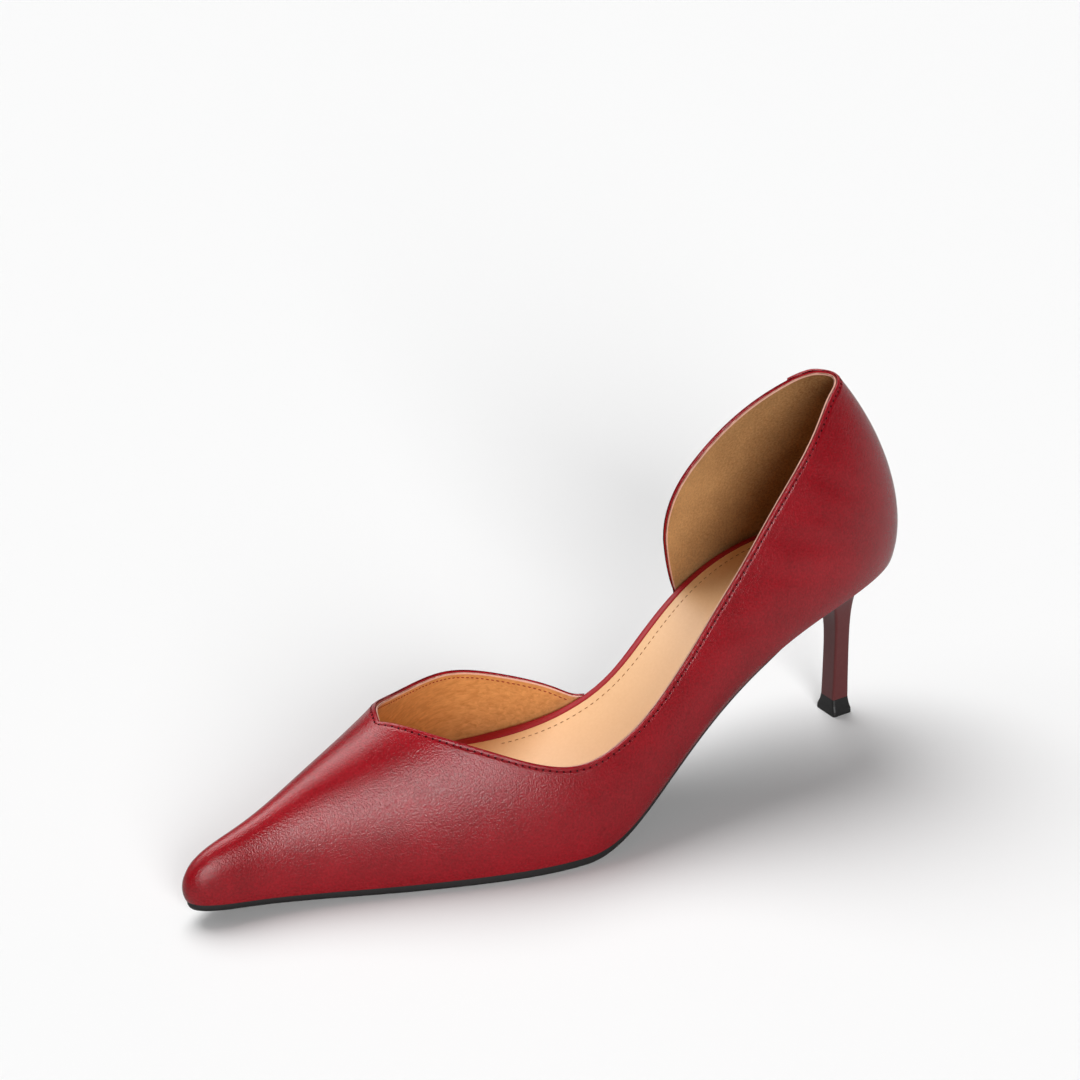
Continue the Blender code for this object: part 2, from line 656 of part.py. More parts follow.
# Plain colours, linear, and roughness
Finish = namedtuple("Finish", "colour roughness")
FINISHES = {
    "red_leather": Finish((0.300, 0.010, 0.018), 0.45),
    "board_wrap": Finish((0.260, 0.009, 0.014), 0.45),
    "heel_cover": Finish((0.130, 0.012, 0.014), 0.35),
    "sole_black": Finish((0.012, 0.011, 0.011), 0.60),
    "tip_black": Finish((0.010, 0.010, 0.010), 0.55),
    "sock_leather": Finish((0.780, 0.480, 0.230), 0.50),
}
PIECES = (
    ("outsole", outsole_mesh, "sole_black"),
    ("heel", heel_mesh, "heel_cover"),
    ("top_lift", top_lift_mesh, "tip_black"),
    ("upper", upper_mesh, "red_leather"),
    ("insole_board", board_mesh, "board_wrap"),
    ("sock", sock_mesh, "sock_leather"),
)


def material(name):
    finish = FINISHES[name]
    made = bpy.data.materials.new(name)
    made.use_nodes = True
    shader = next(n for n in made.node_tree.nodes if n.type == "BSDF_PRINCIPLED")
    shader.inputs["Base Color"].default_value = (*finish.colour, 1.0)
    shader.inputs["Roughness"].default_value = finish.roughness
    made.diffuse_color = (*finish.colour, 1.0)
    return made


def add_piece(name, points, faces, finish):
    mesh = bpy.data.meshes.new(name)
    mesh.from_pydata([tuple(map(float, p)) for p in points], [], [tuple(map(int, f)) for f in faces])
    soup = bmesh.new()
    soup.from_mesh(mesh)
    bmesh.ops.recalc_face_normals(soup, faces=soup.faces)
    soup.to_mesh(mesh)
    soup.free()
    mesh.materials.append(material(finish))
    mesh.shade_smooth()
    mesh.set_sharp_from_angle(angle=math.radians(SHARP_EDGE))
    body = bpy.data.objects.new(name, mesh)
    bpy.context.scene.collection.objects.link(body)
    return body


def main():
    for body in list(bpy.data.objects):
        bpy.data.objects.remove(body, do_unlink=True)
    made = [(name, *builder(), finish) for name, builder, finish in PIECES]
    every = np.concatenate([points for _, points, _, _ in made])
    low, high = every.min(0), every.max(0)
    base = np.array([(low[0] + high[0]) / 2, (low[1] + high[1]) / 2, low[2]])
    for name, points, faces, finish in made:
        add_piece(name, points - base, faces, finish)


if __name__ == "__main__":
    main()
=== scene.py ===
"""A red leather dorsay pump: closed on the outer side, open on the inner one, on a slim square heel.

Lengths are in metres. The last, the soft curve that every layer follows, is the one of the solid parts.
Leather, linings, sock, insole and sole are made here as their own thin layers with stitches and folds.
"""
import math
from collections import namedtuple

import bmesh
import bpy
import numpy as np
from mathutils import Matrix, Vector
from mathutils.bvhtree import BVHTree
from mathutils.kdtree import KDTree


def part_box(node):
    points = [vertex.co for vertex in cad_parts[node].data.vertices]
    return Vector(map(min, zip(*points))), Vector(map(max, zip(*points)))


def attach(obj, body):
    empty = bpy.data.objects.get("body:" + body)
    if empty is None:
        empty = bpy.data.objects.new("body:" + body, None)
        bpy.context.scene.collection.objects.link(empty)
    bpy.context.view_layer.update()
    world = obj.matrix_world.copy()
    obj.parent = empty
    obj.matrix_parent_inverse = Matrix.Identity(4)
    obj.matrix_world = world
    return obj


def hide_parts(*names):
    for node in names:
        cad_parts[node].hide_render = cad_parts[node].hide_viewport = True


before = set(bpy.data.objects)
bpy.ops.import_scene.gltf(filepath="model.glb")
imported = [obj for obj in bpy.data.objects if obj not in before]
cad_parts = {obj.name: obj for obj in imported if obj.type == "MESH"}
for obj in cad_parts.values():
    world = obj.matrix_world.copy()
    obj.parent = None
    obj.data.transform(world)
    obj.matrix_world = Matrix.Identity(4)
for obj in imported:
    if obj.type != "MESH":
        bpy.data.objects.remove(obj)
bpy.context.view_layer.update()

MM = 0.001
SLACK = 1e-6                    # shares closer than this are the same
SAME_PLACE = 1e-7               # and so are points closer than this
LEAST_LENGTH = 1e-15            # keeps a division by a length sound
LAYER_WELD = 2e-6
SLAB_WELD = 3e-6

# How many points stand for a curve
SLOPE_POINTS = 401
EDGE_POINTS = 1201
RIDGE_POINTS = 801
SECTION_POINTS = 81
FRONT_POINTS = 200
TAIL_POINTS = 20
SOCK_POINTS = 300

# The last
LAST_LENGTH = 0.2350
BALL_WIDTH = 0.0700
HEEL_RISE = 0.0508
TOE_SPRING = 0.0040
VAMP_DEPTH = 0.0400
TREAD_START = 0.54
TREAD_END = 0.72
SEAT_HANDLE = 0.32
SEAT_DROP = 0.025
TREAD_HANDLE = 0.125

# Layers
WALL = 1.8 * MM
LEATHER = 1.10 * MM             # outer leather, folded over at the topline
LINING = 0.62 * MM
BOARD_THICKNESS = 3.0 * MM
SOCK_THICKNESS = 1.2 * MM
SOLE_THICKNESS = 2.6 * MM
SOLE_WAIST = 1.0 * MM
SOLE_TAPER = 1.5
SOLE_INSET = 0.4 * MM
GAP = 0.3 * MM
SOCK_EDGE = 1.4 * MM
SOCK_MARGIN = 3.4 * MM
VAMP_MARGIN = 5.2 * MM
OVERLAP_WALL = 0.7 * MM
OVERLAP_END = 0.055
OVERLAP_GROWN = 0.022
OPEN_START, OPEN_END, OPEN_EASE = 0.240, 0.405, 0.050
MARGIN_START, MARGIN_END = 0.020, 0.740
MARGIN_EASE_BACK, MARGIN_EASE_FRONT = 0.100, 0.120

# The heel
BREAST_PLACE = 0.190
COLUMN_PLACE = 0.060
COLUMN_WIDTH = 6.4 * MM
COLUMN_DEPTH = 5.8 * MM
COLUMN_CORNER = 0.7 * MM
COLUMN_WAIST = 0.90
HEEL_FLARE = 7.0
TIP_HEIGHT = 5.2 * MM

# Sections around the last, from the back along the outer side to the tip and home along the inner side.
# out is in ball widths, and the rest are the handles of a section's curve, sideways and up.
Section = namedtuple("Section", "side along out low_out low_up high_in high_up top_in")
SECTIONS = (
    Section("outer", 0.000, 0.000, 0.11, 0.22, 0.98, 0.60, 0.46),
    Section("outer", 0.020, 0.146, 0.12, 0.22, 0.96, 0.60, 0.49),
    Section("outer", 0.060, 0.230, 0.13, 0.22, 0.96, 0.62, 0.55),
    Section("outer", 0.130, 0.288, 0.17, 0.24, 0.98, 0.66, 0.59),
    Section("outer", 0.200, 0.304, 0.20, 0.26, 0.97, 0.70, 0.54),
    Section("outer", 0.280, 0.324, 0.20, 0.28, 0.95, 0.76, 0.43),
    Section("outer", 0.360, 0.360, 0.19, 0.30, 0.92, 0.82, 0.29),
    Section("outer", 0.440, 0.412, 0.16, 0.30, 0.86, 0.88, 0.16),
    Section("outer", 0.510, 0.447, 0.12, 0.32, 0.78, 0.94, 0.06),
    Section("outer", 0.570, 0.435, 0.09, 0.34, 0.70, 0.98, 0.02),
    Section("outer", 0.640, 0.374, 0.08, 0.36, 0.66, 1.00, 0.00),
    Section("outer", 0.722, 0.270, 0.08, 0.40, 0.62, 1.00, 0.00),
    Section("outer", 0.830, 0.123, 0.09, 0.44, 0.60, 1.00, 0.00),
    Section("outer", 0.910, 0.036, 0.11, 0.46, 0.63, 1.00, 0.00),
    Section("outer", 0.970, -0.004, 0.18, 0.46, 0.76, 1.00, 0.00),
    Section("tip", 1.000, -0.062, 0.28, 0.45, 0.90, 1.00, 0.00),
    Section("inner", 0.970, -0.122, 0.18, 0.46, 0.76, 1.00, 0.00),
    Section("inner", 0.910, -0.170, 0.11, 0.46, 0.63, 1.00, 0.00),
    Section("inner", 0.830, -0.259, 0.09, 0.44, 0.60, 1.00, 0.00),
    Section("inner", 0.722, -0.400, 0.08, 0.40, 0.62, 1.00, 0.00),
    Section("inner", 0.640, -0.510, 0.07, 0.36, 0.66, 1.00, 0.00),
    Section("inner", 0.580, -0.572, 0.07, 0.34, 0.70, 0.98, 0.02),
    Section("inner", 0.530, -0.568, 0.08, 0.32, 0.78, 0.94, 0.06),
    Section("inner", 0.480, -0.470, 0.14, 0.30, 0.84, 0.90, 0.10),
    Section("inner", 0.430, -0.325, 0.22, 0.30, 0.90, 0.86, 0.16),
    Section("inner", 0.380, -0.245, 0.28, 0.28, 0.96, 0.82, 0.28),
    Section("inner", 0.320, -0.266, 0.30, 0.28, 1.00, 0.78, 0.38),
    Section("inner", 0.250, -0.324, 0.26, 0.28, 1.00, 0.74, 0.48),
    Section("inner", 0.190, -0.346, 0.21, 0.26, 0.98, 0.68, 0.54),
    Section("inner", 0.130, -0.332, 0.17, 0.24, 0.98, 0.66, 0.57),
    Section("inner", 0.060, -0.255, 0.13, 0.22, 0.96, 0.62, 0.54),
    Section("inner", 0.020, -0.155, 0.12, 0.22, 0.96, 0.60, 0.49),
)
MIDDLE_START = 0.155
MIDDLE_END = 0.958
RIDGE_START = 0.55
RIDGE_EASE = 0.15
Middle = namedtuple("Middle", "along sideways depth")
MIDDLE_LINE = (
    Middle(0.155, 0.000, 1.60),
    Middle(0.250, -0.015, 1.645),
    Middle(0.400, -0.045, 1.58),
    Middle(0.520, -0.060, 1.48),
    Middle(0.640, -0.068, 1.25),
    Middle(0.735, -0.070, 0.985),
    Middle(0.830, -0.068, 0.725),
    Middle(0.910, -0.064, 0.490),
    Middle(0.958, -0.060, 0.378),
)

# Edges of the upper, as places along the shoe and shares of the way up the section
Edge = namedtuple("Edge", "along rise")
OUTER_TOPLINE = (
    Edge(0.000, 1.000), Edge(0.019, 1.000), Edge(0.059, 0.990), Edge(0.101, 0.940), Edge(0.159, 0.846),
    Edge(0.213, 0.750), Edge(0.265, 0.656), Edge(0.321, 0.574), Edge(0.362, 0.520), Edge(0.396, 0.486),
    Edge(0.439, 0.452), Edge(0.483, 0.430), Edge(0.512, 0.418), Edge(0.544, 0.420), Edge(0.578, 0.456),
    Edge(0.621, 0.545), Edge(0.671, 0.700), Edge(0.703, 0.872), Edge(0.719, 1.000),
)
INNER_VAMP = (
    Edge(0.398, 0.035), Edge(0.413, 0.095), Edge(0.432, 0.185), Edge(0.462, 0.290), Edge(0.493, 0.362),
    Edge(0.528, 0.415), Edge(0.568, 0.450), Edge(0.604, 0.482), Edge(0.640, 0.535), Edge(0.672, 0.625),
    Edge(0.701, 0.790), Edge(0.719, 1.000),
)
INNER_QUARTER = (
    Edge(0.000, 1.000), Edge(0.019, 0.998), Edge(0.040, 0.982), Edge(0.067, 0.952), Edge(0.101, 0.912),
    Edge(0.128, 0.880), Edge(0.159, 0.843), Edge(0.190, 0.797), Edge(0.214, 0.750), Edge(0.235, 0.690),
    Edge(0.251, 0.615), Edge(0.261, 0.530), Edge(0.265, 0.440),
)
FRONT_LEAN = 0.024
LINING_SEAM = 0.430             # vamp lining and quarter lining meet here on the outer side


def angle_of(along):
    """Place around the last, 0 at the back and pi at the tip, for a share of the length."""
    return np.arccos(np.clip(1 - 2 * np.asarray(along, float), -1, 1))


def along_of(angle):
    return (1 - np.cos(angle)) / 2


def round_spline(knots, values):
    """Smooth closed curve through values at places around the last."""
    knots, values = np.asarray(knots, float), np.asarray(values, float)
    count = len(knots)
    span = np.diff(np.append(knots, knots[0] + 2 * math.pi))
    slope = (np.roll(values, -1) - values) / span
    matrix = np.zeros((count, count))
    for i in range(count):
        matrix[i, i - 1] += span[i - 1]
        matrix[i, i] += 2 * (span[i - 1] + span[i])
        matrix[i, (i + 1) % count] += span[i]
    bend = np.linalg.solve(matrix, 6 * (slope - np.roll(slope, 1)))

    def curve(angle):
        angle = np.mod(np.asarray(angle, float) - knots[0], 2 * math.pi) + knots[0]
        i = np.clip(np.searchsorted(knots, angle, side="right") - 1, 0, count - 1)
        j = (i + 1) % count
        a = angle - knots[i]
        b = span[i] - a
        cubic = (bend[i] * b**3 + bend[j] * a**3) / (6 * span[i])
        low = (values[i] / span[i] - bend[i] * span[i] / 6) * b
        high = (values[j] / span[i] - bend[j] * span[i] / 6) * a
        return cubic + low + high

    return curve


def open_spline(knots, values):
    """Smooth open curve through values, with straight ends."""
    knots, values = np.asarray(knots, float), np.asarray(values, float)
    count = len(knots)
    span = np.diff(knots)
    slope = np.diff(values) / span
    matrix, right = np.eye(count), np.zeros(count)
    for i in range(1, count - 1):
        matrix[i, i - 1:i + 2] = span[i - 1], 2 * (span[i - 1] + span[i]), span[i]
        right[i] = 6 * (slope[i] - slope[i - 1])
    bend = np.linalg.solve(matrix, right)

    def curve(place):
        place = np.asarray(place, float)
        i = np.clip(np.searchsorted(knots, place, side="right") - 1, 0, count - 2)
        a = place - knots[i]
        b = knots[i + 1] - place
        cubic = (bend[i] * b**3 + bend[i + 1] * a**3) / (6 * span[i])
        low = (values[i] / span[i] - bend[i] * span[i] / 6) * b
        high = (values[i + 1] / span[i] - bend[i + 1] * span[i] / 6) * a
        return cubic + low + high

    return curve


SECTION_ANGLES = [
    2 * math.pi - float(angle_of(s.along)) if s.side == "inner" else float(angle_of(s.along))
    for s in SECTIONS
]
AROUND = {
    name: round_spline(SECTION_ANGLES, [getattr(s, name) for s in SECTIONS])
    for name in ("out", "low_out", "low_up", "high_in", "high_up", "top_in")
}
MIDDLE = {
    name: open_spline([m.along for m in MIDDLE_LINE], [getattr(m, name) for m in MIDDLE_LINE])
    for name in ("sideways", "depth")
}


def bezier(p0, p1, p2, p3, t):
    s = 1 - t
    return s**3 * p0 + 3 * s * s * t * p1 + 3 * s * t * t * p2 + t**3 * p3


CURVE = np.linspace(0, 1, SLOPE_POINTS)
SLOPE_ALONG = bezier(0.0, SEAT_HANDLE, TREAD_START - TREAD_HANDLE, TREAD_START, CURVE)
SLOPE_RISE = bezier(1.0, 1.0 - SEAT_DROP, 0.0, 0.0, CURVE)


def soft_step(value, start, width):
    """0 below start, 1 past start + width, and a smooth rise between them."""
    share = np.clip((value - start) / width, 0, 1)
    return share * share * (3 - 2 * share)


def bottom_height(along):
    """Height of the last's bottom over the floor."""
    along = np.asarray(along, float)
    slope = HEEL_RISE * np.interp(along, SLOPE_ALONG, SLOPE_RISE)
    spring = np.clip((along - TREAD_END) / (1 - TREAD_END), 0, None)
    return SOLE_THICKNESS + GAP + slope + TOE_SPRING * spring**2


def ridge_height(along):
    return bottom_height(along) + MIDDLE["depth"](along) * VAMP_DEPTH


def ridge_slope(along):
    step = 1e-3
    return (ridge_height(along + step) - ridge_height(along - step)) / (2 * step * LAST_LENGTH)


def outline(angle, outward=0.0):
    """Point of the bottom outline in plan, moved outward along its own normal."""
    step = 1e-4

    def point(a):
        return np.stack([AROUND["out"](a) * BALL_WIDTH, -along_of(a) * LAST_LENGTH], -1)

    angle = np.asarray(angle, float)
    tangent = point(angle + step) - point(angle - step)
    length = np.linalg.norm(tangent, axis=-1, keepdims=True)
    normal = np.stack([-tangent[..., 1], tangent[..., 0]], -1) / length
    return point(angle) + normal * np.asarray(outward)[..., None]


def last_point(angle, rise):
    """Point of the last at a place around it, and at a share of the way up its section."""
    angle, rise = np.broadcast_arrays(np.asarray(angle, float), np.asarray(rise, float))
    along = along_of(angle)
    foot = outline(angle)
    middle_along = MIDDLE_START + (MIDDLE_END - MIDDLE_START) * along
    middle = np.stack([MIDDLE["sideways"](middle_along) * BALL_WIDTH, -middle_along * LAST_LENGTH], -1)
    low = bottom_height(along)
    height = ridge_height(middle_along) - low
    high_in = AROUND["high_in"](angle)
    reach = bezier(1.0, 1 + AROUND["low_out"](angle), high_in, AROUND["top_in"](angle), rise)
    ahead = (along - middle_along) * LAST_LENGTH * high_in
    fall = ridge_slope(middle_along) * ahead / height * soft_step(along, RIDGE_START, RIDGE_EASE)
    up = bezier(0.0, AROUND["low_up"](angle), AROUND["high_up"](angle) + fall, 1.0, rise)
    plan = middle + (foot - middle) * reach[..., None]
    return np.concatenate([plan, (low + height * up)[..., None]], -1)


def unit(vectors):
    return vectors / np.maximum(np.linalg.norm(vectors, axis=-1, keepdims=True), LEAST_LENGTH)


def raw_normal(angle, rise):
    step = 1e-3
    around = last_point(angle + step, rise) - last_point(angle - step, rise)
    up = last_point(angle, np.clip(rise + step, 0, 1)) - last_point(angle, np.clip(rise - step, 0, 1))
    return unit(np.cross(up, around))


def outward_normal(angle, rise):
    """Direction out of the last, level below the widest line and shared by both sides along the ridge."""
    normal = raw_normal(angle, rise)
    other = raw_normal(2 * math.pi - angle, rise)
    ridge = (rise > 1 - SLACK) & (along_of(angle) > INNER_VAMP[-1].along - SLACK)
    normal = np.where(ridge[..., None], unit(normal + other), normal)
    normal[..., 2] = np.maximum(normal[..., 2], 0.0)
    return unit(normal)


# The solids' frame is centred on the floor under the whole shoe.
LIFT_LOW, LIFT_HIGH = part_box("top_lift")
SHIFT = np.array([
    -(LIFT_LOW.x + LIFT_HIGH.x) / 2, -COLUMN_PLACE * LAST_LENGTH - (LIFT_LOW.y + LIFT_HIGH.y) / 2, 0.0,
])
FOOT_SHARE = 0.08               # share of a section over which its foot is fitted to the last's bottom


def wall_point(angle, rise, outward):
    """Point of the upper's wall and the direction out of it. Its foot stands on the last's bottom."""
    angle, rise = np.broadcast_arrays(np.asarray(angle, float), np.asarray(rise, float))
    normal = outward_normal(angle, rise)
    point = last_point(angle, rise) + normal * np.asarray(outward)[..., None]
    level = bottom_height(-point[..., 1] / LAST_LENGTH) - bottom_height(along_of(angle))
    point[..., 2] += level * np.clip(1 - rise / FOOT_SHARE, 0, 1)
    return point - SHIFT, normal


# Rows of the upper: distances from its edge and from its foot, and how many even rows between them
EDGE_STEPS = np.array([0, .04, .12, .25, .42, .60, .80, .95, 1.1, 1.25, 1.4, 1.6, 1.9, 2.3, 2.8, 3.5]) * MM
FOOT_STEPS = np.array([0, .12, .30, .60, 1.0, 1.5]) * MM
EVEN_ROWS = 30
COLUMN_STEP = 1.35 * MM
FINE_STEPS = np.array([0, .05, .14, .28, .45, .70, 1.05, 1.55, 2.2]) * MM
EDGE_SHARE, FOOT_ROWS_SHARE = 0.45, 0.30     # the most of a short column that its close rows take
RIDGE_SPREAD = 7.0              # how much wider the rows lie along the ridge, where there is no edge
RIDGE_SPREAD_EASE = 25 * MM
FOOT_WEIGHT = 0.8               # how much a step at the foot counts beside one at the edge
JUST_BELOW = 0.98
LEAST_ACROSS = 0.15
OVERLAP_STEP = 0.0006           # columns stand this close on both sides of the overlap's end
DENSE_STEP = 0.05 * MM
WALL_MIDDLE = WALL - LEATHER / 2


def lengths(points):
    steps = np.linalg.norm(np.diff(points, axis=0), axis=1)
    return np.concatenate([[0], np.cumsum(steps)])


def graded(total, fine_start, fine_end, more=()):
    """Places from 0 to total, an even step apart but close together at the ends that are marked fine."""
    first = FINE_STEPS[-1] if fine_start else 0.0
    last = total - (FINE_STEPS[-1] if fine_end else 0.0)
    count = max(int(round((last - first) / COLUMN_STEP)), 1)
    places = list(np.linspace(first, last, count + 1))
    if fine_start:
        places = list(FINE_STEPS[:-1]) + places
    if fine_end:
        places += list(total - FINE_STEPS[:-1][::-1])
    return np.array(sorted(places + [m for m in more if 0 < m < total]))


def edge_line(edges, inner):
    """Dense places around the last and rises of an edge of the upper."""
    places = np.array([float(angle_of(e.along)) for e in edges])
    if inner:
        places = 2 * math.pi - places
    rises = np.array([e.rise for e in edges])
    steps = np.hypot(np.diff(places), np.diff(rises))
    measure = np.concatenate([[0], np.cumsum(steps)]) / steps.sum()
    share = np.linspace(0, 1, EDGE_POINTS)
    place, rise = open_spline(measure, places)(share), open_spline(measure, rises)(share)
    place[0], place[-1] = places[0], places[-1]
    rise[0], rise[-1] = rises[0], rises[-1]
    return share, place, np.minimum(rise, 1.0)


def travel(place, rise):
    """Length along a line of columns, measured where they spread most: at the edge or at the foot."""
    top = wall_point(place, rise, WALL_MIDDLE)[0]
    foot = wall_point(place, np.zeros_like(place), WALL_MIDDLE)[0]
    steps = [np.linalg.norm(np.diff(line, axis=0), axis=1) for line in (top, foot)]
    return np.concatenate([[0], np.cumsum(np.maximum(steps[0], FOOT_WEIGHT * steps[1]))])


def columns_of(edges, inner, fine_start, fine_end, more=()):
    share, place, rise = edge_line(edges, inner)
    path = travel(place, rise)
    marks = [float(np.interp(m, along_of(place), path)) for m in more]
    at = graded(path[-1], fine_start, fine_end, marks)
    return np.interp(at, path, share), np.interp(at, path, place), np.interp(at, path, rise)


def vamp_columns(inner):
    """Columns in front of the throat, whose tops lie on the ridge."""
    throat = float(angle_of(INNER_VAMP[-1].along))
    place = np.linspace(throat, math.pi, RIDGE_POINTS)
    path = travel(place, np.ones_like(place))
    other = travel(2 * math.pi - place, np.ones_like(place))
    path = np.maximum(path, other)
    at = graded(path[-1], True, False)[1:]
    place = np.interp(at, path, place)
    return 2 * math.pi - place if inner else place, at


def rows_of(place, rise, spread):
    """Shares of the way up each column: close rows at the edge and at the foot, even ones between them."""
    even = np.linspace(0, 1, SECTION_POINTS)
    points = wall_point(place[:, None], rise[:, None] * even, WALL_MIDDLE)[0]
    steps = np.linalg.norm(np.diff(points, axis=1), axis=2)
    path = np.concatenate([np.zeros((len(place), 1)), np.cumsum(steps, 1)], 1)
    ups = []
    for own, wide in zip(path, spread):
        total = own[-1]
        top = EDGE_STEPS * wide * min(1.0, EDGE_SHARE * total / (EDGE_STEPS[-1] * wide))
        foot = FOOT_STEPS * min(1.0, FOOT_ROWS_SHARE * total / FOOT_STEPS[-1])
        middle = np.linspace(foot[-1], total - top[-1], EVEN_ROWS + 2)[1:-1]
        at = np.concatenate([foot, middle, total - top[::-1]])
        up = np.interp(at, own, even)
        up[0], up[-1] = 0.0, 1.0
        ups.append(up)
    return np.array(ups)


def edge_spread(place, rise):
    """How much further a row lies from the edge along the section than straight across."""
    top = wall_point(place, rise, WALL_MIDDLE)[0]
    below = wall_point(place, rise * JUST_BELOW, WALL_MIDDLE)[0]
    along_edge = unit(np.gradient(top, axis=0))
    down = unit(below - top)
    across = np.sqrt(np.clip(1 - np.sum(along_edge * down, -1)**2, LEAST_ACROSS, 1))
    return 1 / across


def side_grid(edges, inner, fine_start, more=()):
    """Places and rises of one side of the shoe, from the start of its edge past the throat to the tip."""
    _, place, rise = columns_of(edges, inner, fine_start, True, more)
    spread = edge_spread(place, rise)
    ahead, path = vamp_columns(inner)
    wide = spread[-1] + (RIDGE_SPREAD - spread[-1]) * soft_step(path, 0.0, RIDGE_SPREAD_EASE)
    place, rise = np.concatenate([place, ahead]), np.concatenate([rise, np.ones(len(ahead))])
    up = rows_of(place, rise, np.concatenate([spread, wide]))
    return np.broadcast_to(place[:, None], up.shape), rise[:, None] * up


def quarter_grid():
    overlap = (OVERLAP_END - OVERLAP_STEP, OVERLAP_END, OVERLAP_END + OVERLAP_STEP)
    share, place, rise = columns_of(INNER_QUARTER, True, False, True, overlap)
    up = rows_of(place, rise, edge_spread(place, rise))
    lean = FRONT_LEAN * share[:, None]**3 * (1 - up)**2
    along = along_of(place)[:, None] - lean
    return 2 * math.pi - angle_of(along), rise[:, None] * up


def edge_path():
    """Places and rises of the upper's whole edge: up the tail of the inner vamp, round the topline, and down
    the front of the inner quarter."""
    _, tail_place, tail_rise = edge_line(INNER_VAMP, True)
    _, side_place, side_rise = edge_line(OUTER_TOPLINE, False)
    _, quarter_place, quarter_rise = edge_line(INNER_QUARTER, True)
    down = np.linspace(0, 1, FRONT_POINTS)
    front = 2 * math.pi - angle_of(INNER_QUARTER[-1].along - FRONT_LEAN * down**2)
    place = [
        np.full(TAIL_POINTS, tail_place[0]), tail_place, side_place[::-1], quarter_place[1:], front[1:],
    ]
    rise = [
        np.linspace(0, 1, TAIL_POINTS) * tail_rise[0], tail_rise, side_rise[::-1], quarter_rise[1:],
        INNER_QUARTER[-1].rise * (1 - down[1:]),
    ]
    return np.concatenate(place), np.concatenate(rise)


SIDE = side_grid(OUTER_TOPLINE, False, False, (LINING_SEAM,))
TAIL = side_grid(INNER_VAMP, True, True)
QUARTER = quarter_grid()
EDGE_PLACE, EDGE_RISE = edge_path()


def distances(points, lines):
    """Distance of each point from the nearest of some dense lines of points."""
    every = np.concatenate(lines)
    tree = KDTree(len(every))
    for i, p in enumerate(every):
        tree.insert(p, i)
    tree.balance()
    flat = points.reshape(-1, 3)
    return np.array([tree.find(p)[2] for p in flat]).reshape(points.shape[:-1])


def spaced(path, values, step):
    """Values with three parts, at even steps along a path."""
    at = np.arange(0, path[-1], step)
    return np.stack([np.interp(at, path, values[:, k]) for k in range(3)], 1)


def dense(points):
    return spaced(lengths(points), points, DENSE_STEP)


def edge_round(distance, half):
    """Half thickness of a layer near its rounded edge."""
    near = np.clip(distance / half, 0, 1)
    return half * np.sqrt(1 - (1 - near)**2)


def grid_faces(count_i, count_j, first, flip):
    i, j = np.meshgrid(np.arange(count_i - 1), np.arange(count_j - 1), indexing="ij")
    a = first + i * count_j + j
    faces = np.stack([a, a + count_j, a + count_j + 1, a + 1], -1).reshape(-1, 4)
    return faces[:, ::-1] if flip else faces


def piece(name, points, faces, materials, marks=None, sharp=None, weld=None):
    mesh = bpy.data.meshes.new(name)
    mesh.from_pydata(np.asarray(points, float).tolist(), [], [tuple(map(int, f)) for f in faces])
    for material in materials:
        mesh.materials.append(material)
    if marks is not None:
        mesh.polygons.foreach_set("material_index", np.asarray(marks, np.int32))
    soup = bmesh.new()
    soup.from_mesh(mesh)
    if weld:
        bmesh.ops.remove_doubles(soup, verts=soup.verts, dist=weld)
    bmesh.ops.dissolve_degenerate(soup, edges=soup.edges, dist=SAME_PLACE)
    bmesh.ops.recalc_face_normals(soup, faces=soup.faces)
    soup.to_mesh(mesh)
    soup.free()
    mesh.shade_smooth()
    if sharp:
        mesh.set_sharp_from_angle(angle=math.radians(sharp))
    body = bpy.data.objects.new(name, mesh)
    bpy.context.scene.collection.objects.link(body)
    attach(body, "root")
    return body


def layer(name, grids, middle, half, lines, materials, relief=None, edge_width=0.0):
    """A thin closed layer of the upper over some grids, with round edges along the lines. relief raises its
    outer face. Its second material covers the band beside those lines, as wide as edge_width."""
    points, faces, marks = [], [], []
    count = 0
    for place, rise in grids:
        centre, normal = wall_point(place, rise, middle)
        distance = distances(centre, lines)
        thick = edge_round(distance, half)
        raised = thick + relief(place, centre, distance) if relief else thick
        outer = centre + normal * raised[..., None]
        inner = centre - normal * thick[..., None]
        n, m = place.shape
        outer_faces = grid_faces(n, m, count, False)
        inner_faces = grid_faces(n, m, count + n * m, True)
        foot = count + np.arange(n) * m
        rim = np.stack([foot[1:], foot[:-1], foot[:-1] + n * m, foot[1:] + n * m], -1)
        mean = (distance[1:, 1:] + distance[:-1, 1:] + distance[1:, :-1] + distance[:-1, :-1]) / 4
        near = (mean.reshape(-1) < edge_width).astype(int)
        points += [outer.reshape(-1, 3), inner.reshape(-1, 3)]
        faces += [outer_faces, inner_faces, rim]
        marks += [near, near, np.zeros(len(rim), int)]
        count += 2 * n * m
    return piece(name, np.concatenate(points), np.concatenate(faces), materials,
                 np.concatenate(marks), weld=LAYER_WELD)


# Soft creases of the outer leather: where, which way they run, how long, how wide and how deep.
Crease = namedtuple("Crease", "along rise turn length width depth")
CREASES = (
    Crease(0.050, 0.80, 55, 9.0 * MM, 2.6 * MM, 0.20 * MM),
    Crease(0.110, 0.66, 50, 14.0 * MM, 3.6 * MM, 0.26 * MM),
    Crease(0.150, 0.58, 48, 5.0 * MM, 1.3 * MM, 0.12 * MM),
    Crease(0.175, 0.52, 40, 15.0 * MM, 3.4 * MM, 0.23 * MM),
    Crease(0.215, 0.44, 38, 13.0 * MM, 3.0 * MM, 0.19 * MM),
    Crease(0.270, 0.34, 34, 14.0 * MM, 3.2 * MM, 0.20 * MM),
    Crease(0.450, 0.26, 60, 9.0 * MM, 3.0 * MM, 0.12 * MM),
    Crease(0.520, 0.24, 75, 8.0 * MM, 2.6 * MM, 0.10 * MM),
)
